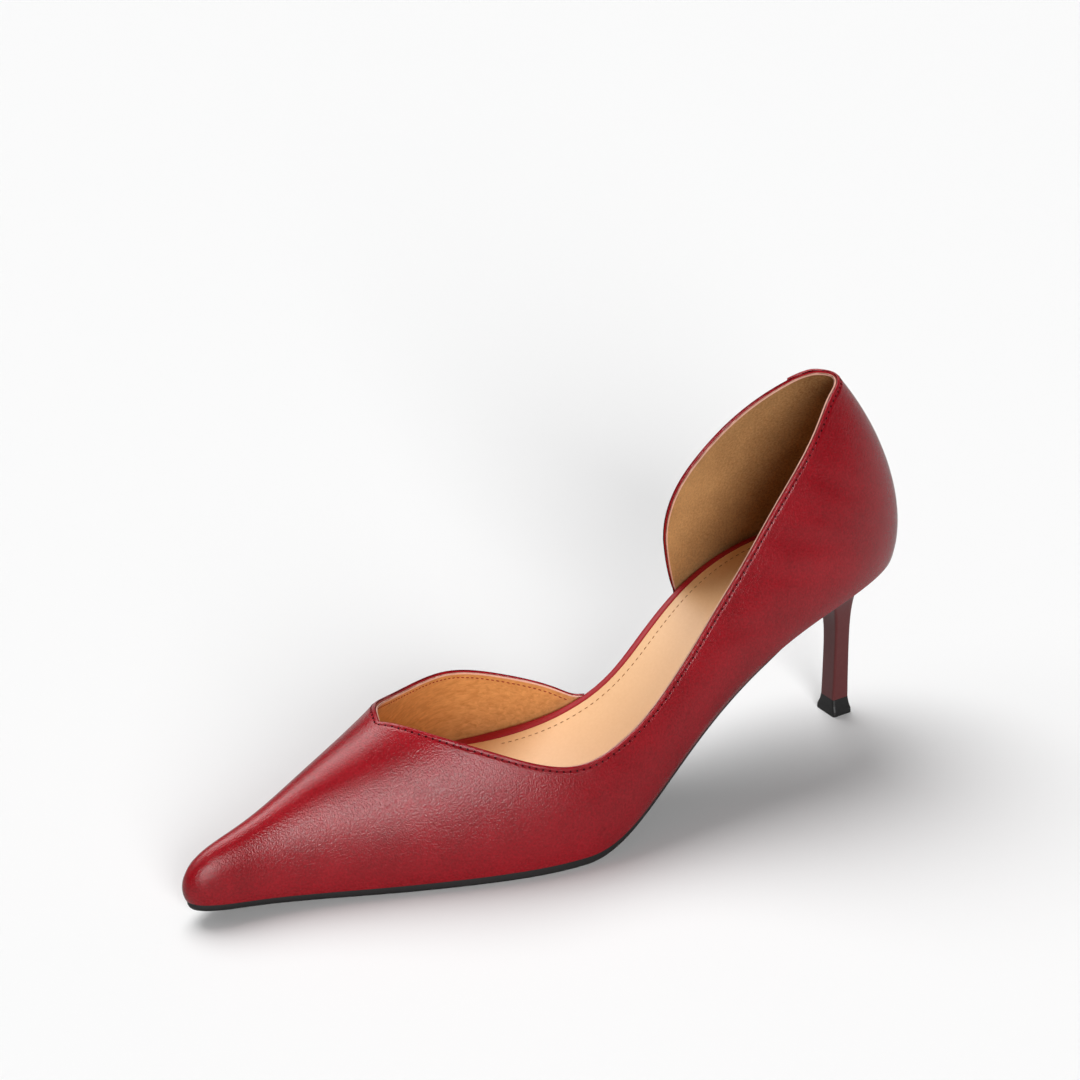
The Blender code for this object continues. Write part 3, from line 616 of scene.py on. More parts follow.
CREASE_AHEAD = 0.004            # share of the length to the point that shows which way is forward
CREASE_REACH = 6 * MM           # how far a crease is felt across the wall
# A fold across its run: height and place of its far bank, of its valley and of its near bank
FOLD = ((0.8, 1.2), (-1.0, 0.0), (0.5, -1.3))
STITCH_INSET = 1.30 * MM
GROOVE_DEPTH, GROOVE_WIDTH = 0.12 * MM, 0.30 * MM
SWELL_HEIGHT, SWELL_INSET, SWELL_WIDTH = 0.05 * MM, 2.2 * MM, 0.7 * MM
INNER_STITCH_INSET = 1.70 * MM


def leather_relief(place, centre, distance):
    """Groove under the stitches, the swell beside it, the soft creases, and the overlap at the back."""
    height = -GROOVE_DEPTH * np.exp(-((distance - STITCH_INSET) / GROOVE_WIDTH)**2)
    height += SWELL_HEIGHT * np.exp(-((distance - SWELL_INSET) / SWELL_WIDTH)**2)
    for crease in CREASES:
        start, out = wall_point(float(angle_of(crease.along)), crease.rise, WALL_MIDDLE)
        ahead, _ = wall_point(float(angle_of(crease.along + CREASE_AHEAD)), crease.rise, WALL_MIDDLE)
        level = unit(ahead - start)
        up = np.cross(out, level)
        up = up if up[2] > 0 else -up
        turn = math.radians(crease.turn)
        run = level * math.cos(turn) + up * math.sin(turn)
        across = np.cross(out, run)
        away = centre - start
        a, b = away @ run / crease.length, away @ across / crease.width
        beyond = (away @ out) / CREASE_REACH
        fade = np.exp(-a**2 - beyond**2)
        height += crease.depth * fade * sum(high * np.exp(-(b - middle)**2) for high, middle in FOLD)
    inner_side = place > math.pi
    along = along_of(place)
    doubled = np.clip(along / OVERLAP_GROWN, 0, 1) * (along < OVERLAP_END - SLACK)
    height += np.where(inner_side, OVERLAP_WALL * doubled, 0.0)
    return height * edge_round(distance, LEATHER / 2) / (LEATHER / 2)


# Materials
PAINTED_SHADE_BACK = 0.108            # the heel lining's painted shade: darkest from here back, painted lighter up to the next place forward
PAINTED_SHADE_FRONT = 0.058


def add(tree, kind, links=(), **values):
    """A node with its settings. links pairs an input's name or number with what feeds it."""
    made = tree.nodes.new(kind)
    for key, value in values.items():
        setattr(made, key, value)
    for key, value in links:
        if isinstance(value, bpy.types.NodeSocket):
            tree.links.new(value, made.inputs[key])
        else:
            made.inputs[key].default_value = value
    return made


def surface_group(name, **inputs):
    """A group that says how a surface varies: how high it stands, and how light its tone is."""
    group = bpy.data.node_groups.new(name, "ShaderNodeTree")
    for label, value in inputs.items():
        socket = group.interface.new_socket(label, in_out="INPUT", socket_type="NodeSocketFloat")
        socket.default_value = value
    for label in ("Height", "Tone"):
        group.interface.new_socket(label, in_out="OUTPUT", socket_type="NodeSocketFloat")
    where = add(group, "ShaderNodeTexCoord").outputs["Object"]
    return group, group.nodes.new("NodeGroupInput"), where


def close_group(group, height, tone):
    end = group.nodes.new("NodeGroupOutput")
    group.links.new(height, end.inputs["Height"])
    group.links.new(tone, end.inputs["Tone"])
    return group


def noise(group, where, scale, detail, **inputs):
    """Strength of a soft noise. scale is how many of its waves make a metre."""
    made = add(group, "ShaderNodeTexNoise", [("Vector", where), ("Scale", scale), ("Detail", detail)])
    for key, value in inputs.items():
        made.inputs[key].default_value = value
    return made.outputs["Fac"]


def weighed(group, value, weight, more=0.0):
    """value times weight, plus more."""
    made = add(group, "ShaderNodeMath", [(0, value), (1, weight), (2, more)], operation="MULTIPLY_ADD")
    return made.outputs[0]


def pebble_grain():
    """Fine pebbles of full-grain leather over soft ripples, with specks and larger swells of tone."""
    group, start, where = surface_group("pebble_grain", Pebbles=1700.0, Swell=70.0, Ripple=260.0,
                                        Specks=1100.0)
    warp = add(group, "ShaderNodeTexNoise", [("Vector", where), ("Scale", 700.0), ("Detail", 2.0)])
    shake = add(group, "ShaderNodeVectorMath", [(0, warp.outputs["Color"]), (1, (0.0003,) * 3)],
                operation="MULTIPLY")
    moved = add(group, "ShaderNodeVectorMath", [(0, where), (1, shake.outputs[0])], operation="ADD")
    cells = add(group, "ShaderNodeTexVoronoi",
                [("Vector", moved.outputs[0]), ("Scale", start.outputs["Pebbles"])], feature="SMOOTH_F1")
    dome = weighed(group, cells.outputs["Distance"], -1.0, 1.0)
    rough = weighed(group, noise(group, where, 5200.0, 3.0, Roughness=0.6), 0.55, dome)
    height = weighed(group, noise(group, where, start.outputs["Ripple"], 1.0), 0.15, rough)
    specks = weighed(group, noise(group, where, start.outputs["Specks"], 2.0), 0.65)
    tone = weighed(group, noise(group, where, start.outputs["Swell"], 3.0), 0.35, specks)
    return close_group(group, height, tone)


def soft_nap():
    """Short nap of suede: a very fine speckle and brushed patches, and painted shade: lighter towards the
    open side, darker at the back of the heel.
    """
    group, start, where = surface_group("soft_nap", Fibres=2600.0, Brushed=0.0)
    fine = noise(group, where, start.outputs["Fibres"], 4.0, Roughness=0.7)
    patches = weighed(group, noise(group, where, 60.0, 2.0), 0.35, weighed(group, fine, 0.65))
    # Painted shade: the tone is painted lighter from the back of the heel lining towards its open front,
    # standing in for the shade inside the heel.
    apart = add(group, "ShaderNodeSeparateXYZ", [("Vector", where)])
    ahead = add(group, "ShaderNodeMapRange", [
        ("Value", apart.outputs["Y"]), ("From Min", PAINTED_SHADE_BACK), ("From Max", PAINTED_SHADE_FRONT)],
        interpolation_type="SMOOTHSTEP")
    return close_group(group, fine, weighed(group, ahead.outputs[0], start.outputs["Brushed"], patches))


def fine_wrinkles():
    """Fine lines of thin lining leather, drawn out along the shoe."""
    group, start, where = surface_group("fine_wrinkles", Lines=500.0)
    drawn = add(group, "ShaderNodeVectorMath", [(0, where), (1, (1.0, 0.28, 1.0))], operation="MULTIPLY")
    lines = noise(group, drawn.outputs[0], start.outputs["Lines"], 4.0, Roughness=0.6, Distortion=0.6)
    pores = add(group, "ShaderNodeTexVoronoi", [("Vector", where), ("Scale", 2300.0)], feature="F1")
    return close_group(group, weighed(group, pores.outputs["Distance"], 0.3, lines), lines)


PEBBLE_GRAIN, SOFT_NAP, FINE_WRINKLES = pebble_grain(), soft_nap(), fine_wrinkles()


def finish(name, dark, light, roughness, surface, bump, tone=(0.35, 0.65), specular=0.5, rough_span=0.08,
           **inputs):
    """A material whose colour, roughness and relief vary over its surface as one of the groups says. tone
    holds the group's tones for the dark and the light colour, and inputs are the group's own."""
    made = bpy.data.materials.new(name)
    made.use_nodes = True
    tree = made.node_tree
    gloss = next(n for n in tree.nodes if n.type == "BSDF_PRINCIPLED")
    skin = add(tree, "ShaderNodeGroup", inputs.items(), node_tree=surface)
    level = add(tree, "ShaderNodeMapRange", [
        ("Value", skin.outputs["Tone"]), ("From Min", tone[0]), ("From Max", tone[1])])
    colour = add(tree, "ShaderNodeMix", [(0, level.outputs[0]), (6, (*dark, 1)), (7, (*light, 1))],
                 data_type="RGBA")
    tree.links.new(colour.outputs[2], gloss.inputs["Base Color"])
    rough = add(tree, "ShaderNodeMapRange", [
        ("Value", skin.outputs["Height"]), ("To Min", roughness + rough_span / 2),
        ("To Max", roughness - rough_span / 2)])
    tree.links.new(rough.outputs[0], gloss.inputs["Roughness"])
    relief = add(tree, "ShaderNodeBump", [
        ("Height", skin.outputs["Height"]), ("Strength", 1.0), ("Distance", bump)])
    tree.links.new(relief.outputs[0], gloss.inputs["Normal"])
    gloss.inputs["Specular IOR Level"].default_value = specular
    return made


EVEN = (0.2, 0.8)               # tones of a nearly even surface
RED_LEATHER = finish("red_leather_skin", (0.205, 0.0025, 0.0060), (0.430, 0.0070, 0.0160), 0.26, PEBBLE_GRAIN,
                     0.095 * MM, (0.28, 0.72), 0.43, 0.14, Pebbles=2300.0, Specks=1500.0)
WRAP_LEATHER = finish("wrap_leather_skin", (0.330, 0.0055, 0.0125), (0.420, 0.0085, 0.0190), 0.50,
                      PEBBLE_GRAIN, 0.02 * MM, EVEN, 0.3)
HEEL_LEATHER = finish("heel_leather_skin", (0.120, 0.024, 0.025), (0.155, 0.034, 0.034), 0.40, PEBBLE_GRAIN,
                      0.01 * MM, EVEN)
# The heel lining's tone carries painted shade, darker towards the back of the heel.
SUEDE = finish("suede_lining", (0.170, 0.070, 0.020), (0.760, 0.440, 0.185), 0.92, SOFT_NAP, 0.20 * MM,
               (0.34, 1.06), 0.2, Brushed=0.36, Fibres=1500.0)
VAMP_LINING = finish("lining_leather", (0.540, 0.230, 0.060), (0.820, 0.400, 0.135), 0.50, FINE_WRINKLES,
                     0.08 * MM, (0.25, 0.75), Lines=900.0)
CUT_EDGE = finish("lining_cut_edge", (0.760, 0.400, 0.300), (0.900, 0.540, 0.420), 0.75, SOFT_NAP, 0.03 * MM)
SOCK_LEATHER = finish("sock_leather_skin", (0.830, 0.470, 0.215), (0.890, 0.530, 0.255), 0.46, PEBBLE_GRAIN,
                      0.01 * MM, EVEN)
SOLE_BLACK = finish("sole_black_skin", (0.010, 0.009, 0.009), (0.020, 0.018, 0.018), 0.58, SOFT_NAP,
                    0.03 * MM, Fibres=1500.0)
TIP_BLACK = finish("tip_black_skin", (0.008, 0.008, 0.008), (0.015, 0.014, 0.014), 0.50, SOFT_NAP, 0.02 * MM,
                   Fibres=1800.0)
RED_THREAD = finish("red_thread", (0.220, 0.005, 0.011), (0.340, 0.008, 0.018), 0.70, SOFT_NAP, 0.02 * MM,
                    specular=0.3, Fibres=4000.0)
# Painted shade: near-black capsules sunk between the topline stitches stand for the shade inside the stitch
# holes.
PAINTED_HOLE_SHADE = finish("stitch_hole_painted_shade", (0.022, 0.001, 0.002), (0.036, 0.001, 0.003), 0.90, SOFT_NAP,
                   0.01 * MM, specular=0.1)
TAN_THREAD = finish("tan_thread", (0.300, 0.125, 0.040), (0.440, 0.210, 0.080), 0.65, SOFT_NAP, 0.02 * MM,
                    Fibres=4000.0)

# The upper
EDGE_LINE = dense(wall_point(EDGE_PLACE, EDGE_RISE, WALL_MIDDLE)[0])
upper = layer("upper_leather", [SIDE, TAIL, QUARTER], WALL_MIDDLE, LEATHER / 2, [EDGE_LINE], [RED_LEATHER],
              leather_relief)
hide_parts("upper")

EDGE_BAND = 0.34 * MM           # width of the linings' pale cut edge
LINING_EDGE = dense(wall_point(EDGE_PLACE, EDGE_RISE, LINING / 2)[0])
seam = int(np.argmin(np.abs(along_of(SIDE[0][:, 0]) - LINING_SEAM)))
LINING_JOIN = dense(wall_point(SIDE[0][seam], SIDE[1][seam], LINING / 2)[0])
LINING_LINES = [LINING_EDGE, LINING_JOIN]
vamp_lining = layer("vamp_lining", [(SIDE[0][seam:], SIDE[1][seam:]), TAIL], LINING / 2, LINING / 2,
                    LINING_LINES, [VAMP_LINING, CUT_EDGE], edge_width=EDGE_BAND)
quarter_lining = layer("quarter_lining", [(SIDE[0][:seam + 1], SIDE[1][:seam + 1]), QUARTER], LINING / 2,
                       LINING / 2, LINING_LINES, [SUEDE, CUT_EDGE], edge_width=EDGE_BAND)


# Stitches. radius is the thread's, and lift is how far its middle stands out, in radii.
Stitch = namedtuple("Stitch", "pitch length radius lift")
TOPLINE_STITCH = Stitch(2.05 * MM, 1.45 * MM, 0.19 * MM, 0.25)
# dark capsules of painted shade, sunk in the holes between the stitches
TOPLINE_HOLE_SHADE = Stitch(2.05 * MM, 0.70 * MM, 0.36 * MM, -0.30)
LINING_STITCH = Stitch(1.60 * MM, 1.00 * MM, 0.15 * MM, 0.25)
SOCK_STITCH = Stitch(2.10 * MM, 1.25 * MM, 0.13 * MM, 0.25)
STITCH_REACH = 0.8 * MM         # no stitch is made further than this from its surface
STITCH_DIP = 1.1                # how deep its ends dip, in radii
STITCH_SIDES = 8
Station = namedtuple("Station", "share width rise")
STITCH_STATIONS = (
    Station(0.0, 0.35, -1.0), Station(0.08, 0.8, -0.35), Station(0.25, 1.0, 0.0), Station(0.5, 1.0, 0.08),
    Station(0.75, 1.0, 0.0), Station(0.92, 0.8, -0.35), Station(1.0, 0.35, -1.0),
)
INSET_STEP = 0.25 * MM
INSET_CLEAR = 0.96              # the least share of its inset that a point of an inset line keeps


def tube_faces(rings, sides):
    """Faces between rings of points, each ring closed round."""
    faces = []
    for ring in range(rings - 1):
        for k in range(sides):
            n = (k + 1) % sides
            low, high = ring * sides, (ring + 1) * sides
            faces.append((low + k, low + n, high + n, high + k))
    return faces


def one_stitch(start, end, out, radius):
    """A thread that rises out of its hole, lies on the leather and dips again."""
    side = np.cross(out, unit(end - start))
    points = []
    for share, width, rise in STITCH_STATIONS:
        centre = start + (end - start) * share + out * rise * radius * STITCH_DIP
        for k in range(STITCH_SIDES):
            turn = 2 * math.pi * k / STITCH_SIDES
            points.append(centre + (side * math.cos(turn) + out * math.sin(turn)) * radius * width)
    faces = tube_faces(len(STITCH_STATIONS), STITCH_SIDES)
    faces.append(tuple(range(STITCH_SIDES))[::-1])
    faces.append(tuple(range(len(points) - STITCH_SIDES, len(points))))
    return points, faces


def stitch_row(name, line, surface, stitch, material, ahead=0.0):
    """Stitches along a line of points, laid on a surface. ahead is how far the row starts later."""
    tree = BVHTree.FromObject(surface, bpy.context.evaluated_depsgraph_get())
    path = lengths(line)
    points, faces = [], []
    for k in range(int(path[-1] / stitch.pitch)):
        ends = []
        middle = stitch.pitch * (k + 0.5) + ahead
        for at in (middle - stitch.length / 2, middle + stitch.length / 2):
            spot = Vector([float(np.interp(at, path, line[:, i])) for i in range(3)])
            place, normal, _, _ = tree.find_nearest(spot)
            if (spot - place).length < STITCH_REACH:
                ends.append((np.array(place), np.array(normal)))
        if len(ends) < 2:
            continue
        out = unit(ends[0][1] + ends[1][1])
        lift = out * stitch.radius * stitch.lift
        own, cells = one_stitch(ends[0][0] + lift, ends[1][0] + lift, out, stitch.radius)
        faces += [tuple(len(points) + v for v in f) for f in cells]
        points += own
    return piece(name, points, faces, [material])


def inset_line(inset, outward):
    """The edge of the upper moved inward over the wall by inset, without its ends by the sole."""
    points, normal = wall_point(EDGE_PLACE, EDGE_RISE, outward)
    path = lengths(points)
    keep = np.concatenate([[True], np.diff(path) > SAME_PLACE])
    points, normal, path = points[keep], normal[keep], path[keep]
    even = spaced(path, points, INSET_STEP)
    out = unit(spaced(path, normal, INSET_STEP))
    moved = even + np.cross(unit(np.gradient(even, axis=0)), out) * inset
    return moved[distances(moved, [even]) > inset * INSET_CLEAR]


OUTER_STITCH_LINE = inset_line(STITCH_INSET, WALL)
INNER_STITCH_LINE = inset_line(INNER_STITCH_INSET, 0.0)
topline_stitches = stitch_row("topline_stitches", OUTER_STITCH_LINE, upper, TOPLINE_STITCH, RED_THREAD)
# Painted shade for the stitch holes: dark capsules, half a pitch after the stitches.
stitch_holes = stitch_row("topline_stitch_hole_shade", OUTER_STITCH_LINE, upper, TOPLINE_HOLE_SHADE, PAINTED_HOLE_SHADE,
                          ahead=TOPLINE_HOLE_SHADE.pitch / 2)
lining_stitches = stitch_row("lining_stitches", INNER_STITCH_LINE, vamp_lining, LINING_STITCH, RED_THREAD)


# Sole, insole and sock

def open_inside(angle):
    """1 on the inner side where the upper is cut away, 0 where it stands, with soft ends."""
    along = along_of(angle)
    begun = soft_step(along, OPEN_START, OPEN_EASE)
    return np.where(angle < math.pi, 0.0, begun * (1 - soft_step(along, OPEN_END - OPEN_EASE, OPEN_EASE)))


def sock_edge(angle):
    along = along_of(angle)
    shown = soft_step(along, MARGIN_START, MARGIN_EASE_BACK)
    shown = shown * (1 - soft_step(along, MARGIN_END - MARGIN_EASE_FRONT, MARGIN_EASE_FRONT))
    margin = SOCK_MARGIN + (VAMP_MARGIN - SOCK_MARGIN) * soft_step(along, OPEN_END, MARGIN_EASE_BACK)
    return SOCK_EDGE + (margin - SOCK_EDGE) * np.where(angle < math.pi, 0.0, shown)


def sole_thickness(along):
    share = np.clip((along - BREAST_PLACE) / (TREAD_START - BREAST_PLACE), 0, 1)
    return SOLE_WAIST + (SOLE_THICKNESS - SOLE_WAIST) * share**SOLE_TAPER


LOWER_ROUND = 0.7 * MM
TOE_ROUND = 2.0 * MM
TREAD_ROUND = 0.25 * MM
BREAST_TAPER = 0.9 * MM
BREAST_EASE = 0.06
SLAB_COLUMNS = 150
SLAB_STRIPS = 10
ROUND_STEPS = 5
SHARP_EDGE = 50                 # faces that meet at more degrees than this keep a sharp edge
WRAP_ROLL = 0.70 * MM           # how far the wrapped edge swells beside the sock
WRAP_INSET = 0.10 * MM
WRAP_ROUND = 0.90 * MM
WRAP_START = WRAP_INSET + 0.5 * MM
WRAP_STEPS = 6
SOCK_HEIGHT = SOCK_THICKNESS * 0.75          # a little thinner than the solid
SOCK_ROUND = 0.35 * MM
THIN_GAP = 0.05 * MM            # between layers that lie on each other
SOLE_GAP = 0.02 * MM
SOCK_STITCH_INSET = 3.0 * MM
SOCK_STITCH_START, SOCK_STITCH_END = 0.13, 0.48


def slab(name, start, rings, material, sharp=SHARP_EDGE):
    """A thin slab across the shoe. start is where it is cut square at the back, or None for a slab round at
    both ends. rings hold outward offsets and heights, from below to above."""
    first = 0.0 if start is None else float(angle_of(start))
    outer = first + (math.pi - first) * np.arange(SLAB_COLUMNS + 1) / SLAB_COLUMNS
    points, faces = [], []
    for offset, height in rings:
        for angles in (outer, 2 * math.pi - outer):
            plan = outline(angles, offset(angles))
            if start is not None:
                plan[:, 1] = np.minimum(plan[:, 1], -start * LAST_LENGTH)
            z = height(-plan[:, 1] / LAST_LENGTH)
            points.append(np.concatenate([plan, z[:, None]], 1))
    n = SLAB_COLUMNS + 1
    for r in range(len(rings) - 1):
        for side in (0, 1):
            a = (2 * r + side) * n + np.arange(n - 1)
            quads = np.stack([a, a + 1, a + 1 + 2 * n, a + 2 * n], -1)
            faces.append(quads if side == 0 else quads[:, ::-1])
        if start is not None:
            a = 2 * r * n
            faces.append(np.array([[a + n, a, a + 2 * n, a + 3 * n]]))
    count = len(rings) * 2 * n
    share = np.linspace(0, 1, SLAB_STRIPS + 1)
    for ring in (0, len(rings) - 1):
        left, right = points[2 * ring], points[2 * ring + 1]
        cap = left[:, None] + (right - left)[:, None] * share[None, :, None]
        cap[..., 2] = rings[ring][1](-cap[..., 1] / LAST_LENGTH)
        points.append(cap.reshape(-1, 3))
        faces.append(grid_faces(n, SLAB_STRIPS + 1, count, ring > 0))
        count += n * (SLAB_STRIPS + 1)
    return piece(name, np.concatenate(points) - SHIFT, np.concatenate(faces), [material], sharp=sharp,
                 weld=SLAB_WELD)


def rounded(edge, low, high, upper_round, lower_round=None):
    """Rings of a slab whose edges are rounded by quarter circles. edge gives its outward offset around the
    last, and low, high and lower_round what they say along the shoe."""
    turns = np.linspace(0, math.pi / 2, ROUND_STEPS + 1)
    rings = [(edge, low)]
    if lower_round:
        rings = [
            (lambda angle, t=turn: edge(angle) - lower_round(along_of(angle)) * (1 - math.sin(t)),
             lambda along, t=turn: low(along) + lower_round(along) * (1 - math.cos(t)))
            for turn in turns
        ]
    return rings + [
        (lambda angle, t=turn: edge(angle) - upper_round * (1 - math.cos(t)),
         lambda along, t=turn: high(along) - upper_round * (1 - math.sin(t)))
        for turn in turns
    ]


def sole_edge(angle):
    standing = WALL - SOLE_INSET
    drawn_in = BREAST_TAPER * (1 - soft_step(along_of(angle), BREAST_PLACE, BREAST_EASE))
    return standing - (standing + GAP) * open_inside(angle) - drawn_in


def sole_round(along):
    """Radius of the sole's lower edge, which is worked thin towards the tip."""
    return LOWER_ROUND + (TOE_ROUND - LOWER_ROUND) * soft_step(along, TREAD_START, 1 - TREAD_START)


def sole_low(along):
    return np.maximum(bottom_height(along) - GAP - sole_thickness(along), 0.0)


def sole_high(along):
    return bottom_height(along) - SOLE_GAP


outsole = slab("outsole_edge", BREAST_PLACE + GAP / LAST_LENGTH,
               rounded(sole_edge, sole_low, sole_high, TREAD_ROUND, sole_round), SOLE_BLACK)
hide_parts("outsole")


def board_top(along):
    return bottom_height(along) + BOARD_THICKNESS


def wrap_rings():
    """The wrapped insole: a straight side, a soft roll beside the sock, and the flat under it."""
    rings = rounded(lambda angle: np.full_like(angle, -WRAP_INSET), bottom_height, board_top, WRAP_ROUND)[:-1]
    for share in np.arange(WRAP_STEPS + 1) / WRAP_STEPS:
        rings.append((
            lambda angle, t=share: -(WRAP_START + (sock_edge(angle) - WRAP_START) * t),
            lambda along, t=share: board_top(along) + WRAP_ROLL * (1 - (2 * t - 1)**4),
        ))
    return rings


board = slab("insole_wrap", None, wrap_rings(), WRAP_LEATHER, sharp=None)
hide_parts("insole_board")


def sock_low(along):
    return board_top(along) + THIN_GAP


def sock_high(along):
    return sock_low(along) + SOCK_HEIGHT


sock = slab("sock_lining", None, rounded(lambda angle: -sock_edge(angle), sock_low, sock_high, SOCK_ROUND),
            SOCK_LEATHER)
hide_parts("sock")

sock_places = 2 * math.pi - angle_of(np.linspace(SOCK_STITCH_START, SOCK_STITCH_END, SOCK_POINTS))
sock_plan = outline(sock_places, -sock_edge(sock_places) - SOCK_STITCH_INSET)
sock_line = np.column_stack([sock_plan, sock_high(-sock_plan[:, 1] / LAST_LENGTH)]) - SHIFT
sock_stitches = stitch_row("sock_stitches", sock_line, sock, SOCK_STITCH, TAN_THREAD)

# The heel
HeelCorner = namedtuple("HeelCorner", "seat breast x y turn")
HEEL_CORNERS = (
    HeelCorner(0.00, 0.0, 0.0, 1.0, None),
    HeelCorner(0.10, 0.0, 0.5, 1.0, None),
    HeelCorner(0.19, 0.0, 1.0, 1.0, 0.0),
    HeelCorner(0.28, 0.0, 1.0, 1.0, 0.5),
    HeelCorner(0.37, 0.0, 1.0, 1.0, 1.0),
    HeelCorner(0.50, 0.0, 1.0, 0.5, None),
    HeelCorner(0.64, 0.0, 1.0, 0.0, None),
    HeelCorner(0.80, 0.0, 1.0, -0.5, None),
    HeelCorner(0.93, 0.0, 1.0, -1.0, 1.0),
    HeelCorner(1.00, 0.0, 1.0, -1.0, 0.5),
    HeelCorner(1.00, 0.18, 1.0, -1.0, 0.0),
    HeelCorner(1.00, 0.55, 0.5, -1.0, None),
    HeelCorner(1.00, 1.0, 0.0, -1.0, None),
)
HEEL_RINGS = 90
HEEL_RING_EASE = 1.6            # more than 1 sets the rings closer near the seat
CORNER_STEPS = 4


def column_corner(corner, side, width, depth):
    """Plan point of the column's outline, about the column's own middle."""
    x, y = corner.x * width / 2, corner.y * depth / 2
    if corner.turn is not None:
        turn = corner.turn * math.pi / 2
        x = width / 2 - COLUMN_CORNER * (1 - math.sin(turn))
        y = math.copysign(depth / 2 - COLUMN_CORNER * (1 - math.cos(turn)), corner.y)
    return np.array([x * side, y])


def seat_corner(seat, breast, side):
    """Plan point of the heel's top outline."""
    front = float(angle_of(BREAST_PLACE))
    angle = seat * front if side > 0 else 2 * math.pi - seat * front
    x, y = outline(angle, WALL - SOLE_INSET)
    y = max(y, -BREAST_PLACE * LAST_LENGTH)
    if seat > 1 - SLACK:
        y = -BREAST_PLACE * LAST_LENGTH
    middle = AROUND["out"](front) + AROUND["out"](2 * math.pi - front)
    return np.array([x + (middle * BALL_WIDTH / 2 - x) * breast, y])


def heel_side(side):
    """Fine corners of one side: pairs of table corners, and the share of the way between them."""
    pairs = list(zip(HEEL_CORNERS, HEEL_CORNERS[1:]))
    return [(a, b, k / CORNER_STEPS, side) for a, b in pairs for k in range(CORNER_STEPS)] + [
        (*pairs[-1], 1.0, side)]


def heel_point(a, b, share, side, step):
    spread = (1 - step)**HEEL_FLARE
    depth = COLUMN_DEPTH * (COLUMN_WAIST + (1 - COLUMN_WAIST) * (2 * step - 1)**2)
    if a.turn is not None and b.turn is not None:
        arc = a._replace(turn=a.turn + (b.turn - a.turn) * share)
        column = column_corner(arc, side, COLUMN_WIDTH, depth)
    else:
        column = column_corner(a, side, COLUMN_WIDTH, depth) * (1 - share)
        column = column + column_corner(b, side, COLUMN_WIDTH, depth) * share
    seat = seat_corner(a.seat + (b.seat - a.seat) * share, a.breast + (b.breast - a.breast) * share, side)
    column[1] -= COLUMN_PLACE * LAST_LENGTH
    plan = column + (seat - column) * spread
    foot = TIP_HEIGHT + THIN_GAP
    top = float(bottom_height(-seat[1] / LAST_LENGTH)) - THIN_GAP
    under = float(bottom_height(COLUMN_PLACE)) - THIN_GAP
    return [*plan, foot + (top - foot) * spread + (under - foot) * (1 - step - spread)]


def heel_cover():
    """The heel's skin, with both its ends closed by strips across it."""
    outer, inner = heel_side(1), heel_side(-1)
    ring = outer + inner[-2:0:-1]
    steps = (np.arange(HEEL_RINGS + 1) / HEEL_RINGS)**HEEL_RING_EASE
    points = np.array([[heel_point(*corner, step) for corner in ring] for step in steps])
    count = len(ring)
    faces = tube_faces(HEEL_RINGS + 1, count)
    for base in (0, HEEL_RINGS * count):
        for k in range(count // 2):
            strip = [k, k + 1, (count - k - 1) % count, (count - k) % count]
            faces.append(tuple(base + c for c in dict.fromkeys(strip)))
    return piece("heel_cover", points.reshape(-1, 3) - SHIFT, faces, [HEEL_LEATHER], sharp=SHARP_EDGE)


heel = heel_cover()
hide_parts("heel")

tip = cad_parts["top_lift"]
for slot in tip.material_slots:
    slot.material = TIP_BLACK

# Floor, light and camera
PAPER_WHITE = 0.93
STUDIO_LIGHT = 0.02
FLOOR_WHITE, FLOOR_DIM = 0.87, 0.18          # the floor as the camera sees it, and as it lights the shoe
FLOOR_GLEAM = 0.45              # how much of the pale floor the leather mirrors
FLOOR_REACH = 4.0
corners = [(-FLOOR_REACH, -FLOOR_REACH, 0), (FLOOR_REACH, -FLOOR_REACH, 0),
           (FLOOR_REACH, FLOOR_REACH, 0), (-FLOOR_REACH, FLOOR_REACH, 0)]
floor_mesh = bpy.data.meshes.new("floor")
floor_mesh.from_pydata(corners, [], [(0, 1, 2, 3)])
floor = bpy.data.objects.new("floor", floor_mesh)
bpy.context.scene.collection.objects.link(floor)
pale = bpy.data.materials.new("pale_floor")
pale.use_nodes = True
pale_gloss = next(n for n in pale.node_tree.nodes if n.type == "BSDF_PRINCIPLED")
ray = add(pale.node_tree, "ShaderNodeLightPath").outputs
seen = add(pale.node_tree, "ShaderNodeMath",
           [(0, ray["Is Glossy Ray"]), (1, FLOOR_GLEAM), (2, ray["Is Camera Ray"])], operation="MULTIPLY_ADD")
paper = add(pale.node_tree, "ShaderNodeMix", [
    (0, seen.outputs[0]), (6, (*[FLOOR_DIM] * 3, 1)), (7, (*[FLOOR_WHITE] * 3, 1))], data_type="RGBA")
pale.node_tree.links.new(paper.outputs[2], pale_gloss.inputs["Base Color"])
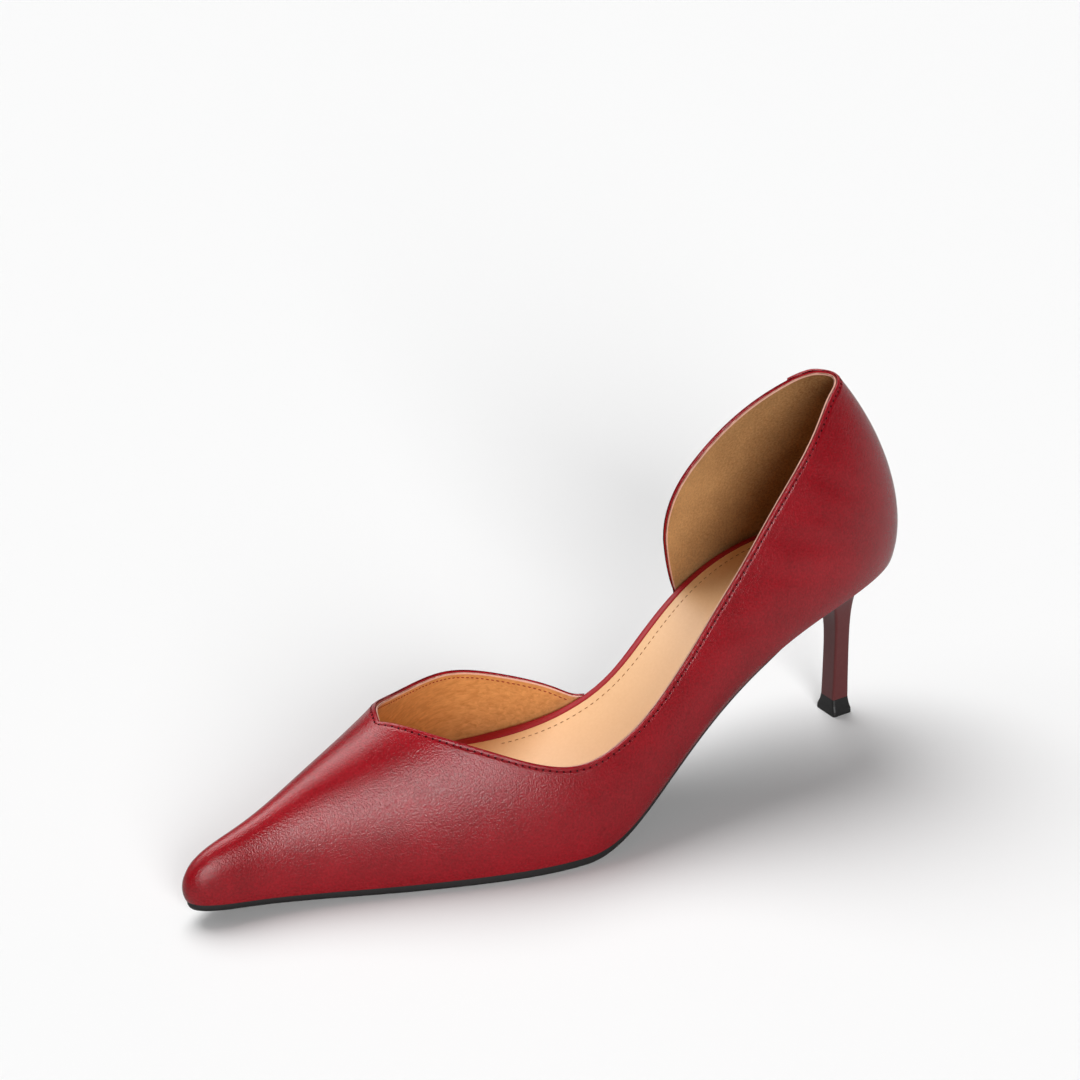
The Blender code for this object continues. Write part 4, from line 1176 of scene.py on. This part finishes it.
pale_gloss.inputs["Roughness"].default_value = 0.9
pale_gloss.inputs["Specular IOR Level"].default_value = 0.2
floor_mesh.materials.append(pale)

world = bpy.data.worlds.new("studio")
bpy.context.scene.world = world
world.use_nodes = True
sky = world.node_tree
backdrop = sky.nodes["Background"]
backdrop.inputs["Color"].default_value = (1.0, 1.0, 1.0, 1)
sky_level = add(sky, "ShaderNodeMapRange", [
    ("Value", add(sky, "ShaderNodeLightPath").outputs["Is Camera Ray"]), ("To Min", STUDIO_LIGHT),
    ("To Max", PAPER_WHITE)])
sky.links.new(sky_level.outputs[0], backdrop.inputs["Strength"])
bpy.context.scene.view_settings.view_transform = "Standard"

AZIMUTH = math.radians(56.0)    # where the camera's right points
RIGHT = Vector((math.cos(AZIMUTH), math.sin(AZIMUTH), 0))
AHEAD = Vector((-math.sin(AZIMUTH), math.cos(AZIMUTH), 0))


def far_light(name, right, ahead, up, spread, strength):
    """A wide, far softbox, so that it lights the whole floor evenly. The direction to it is given by the
    camera's right, away from the camera, and up. spread is its width in degrees."""
    light = bpy.data.lights.new(name, "SUN")
    light.angle = math.radians(spread)
    light.energy = strength
    body = bpy.data.objects.new(name, light)
    away = RIGHT * right + AHEAD * ahead + Vector((0, 0, up))
    body.rotation_mode = "QUATERNION"
    body.rotation_quaternion = away.to_track_quat("Z", "Y")
    bpy.context.scene.collection.objects.link(body)


far_light("key", -0.28, 0.42, 0.87, 48, 2.45)
far_light("side", -0.75, 0.10, 0.66, 50, 0.45)
far_light("fill", 0.22, -0.90, 0.37, 26, 2.25)
far_light("overhead", 0.0, 0.0, 1.0, 120, 0.18)

camera = bpy.data.objects.new("camera", bpy.data.cameras.new("camera"))
camera.data.sensor_width = 36.0
camera.data.lens = 145.93
camera.location = (0.91229, -0.61655, 0.65387)
target = Vector((-0.04541, 0.02943, 0.05762))
camera.rotation_mode = "QUATERNION"
camera.rotation_quaternion = (target - camera.location).to_track_quat("-Z", "Y")
bpy.context.scene.collection.objects.link(camera)
bpy.context.scene.camera = camera
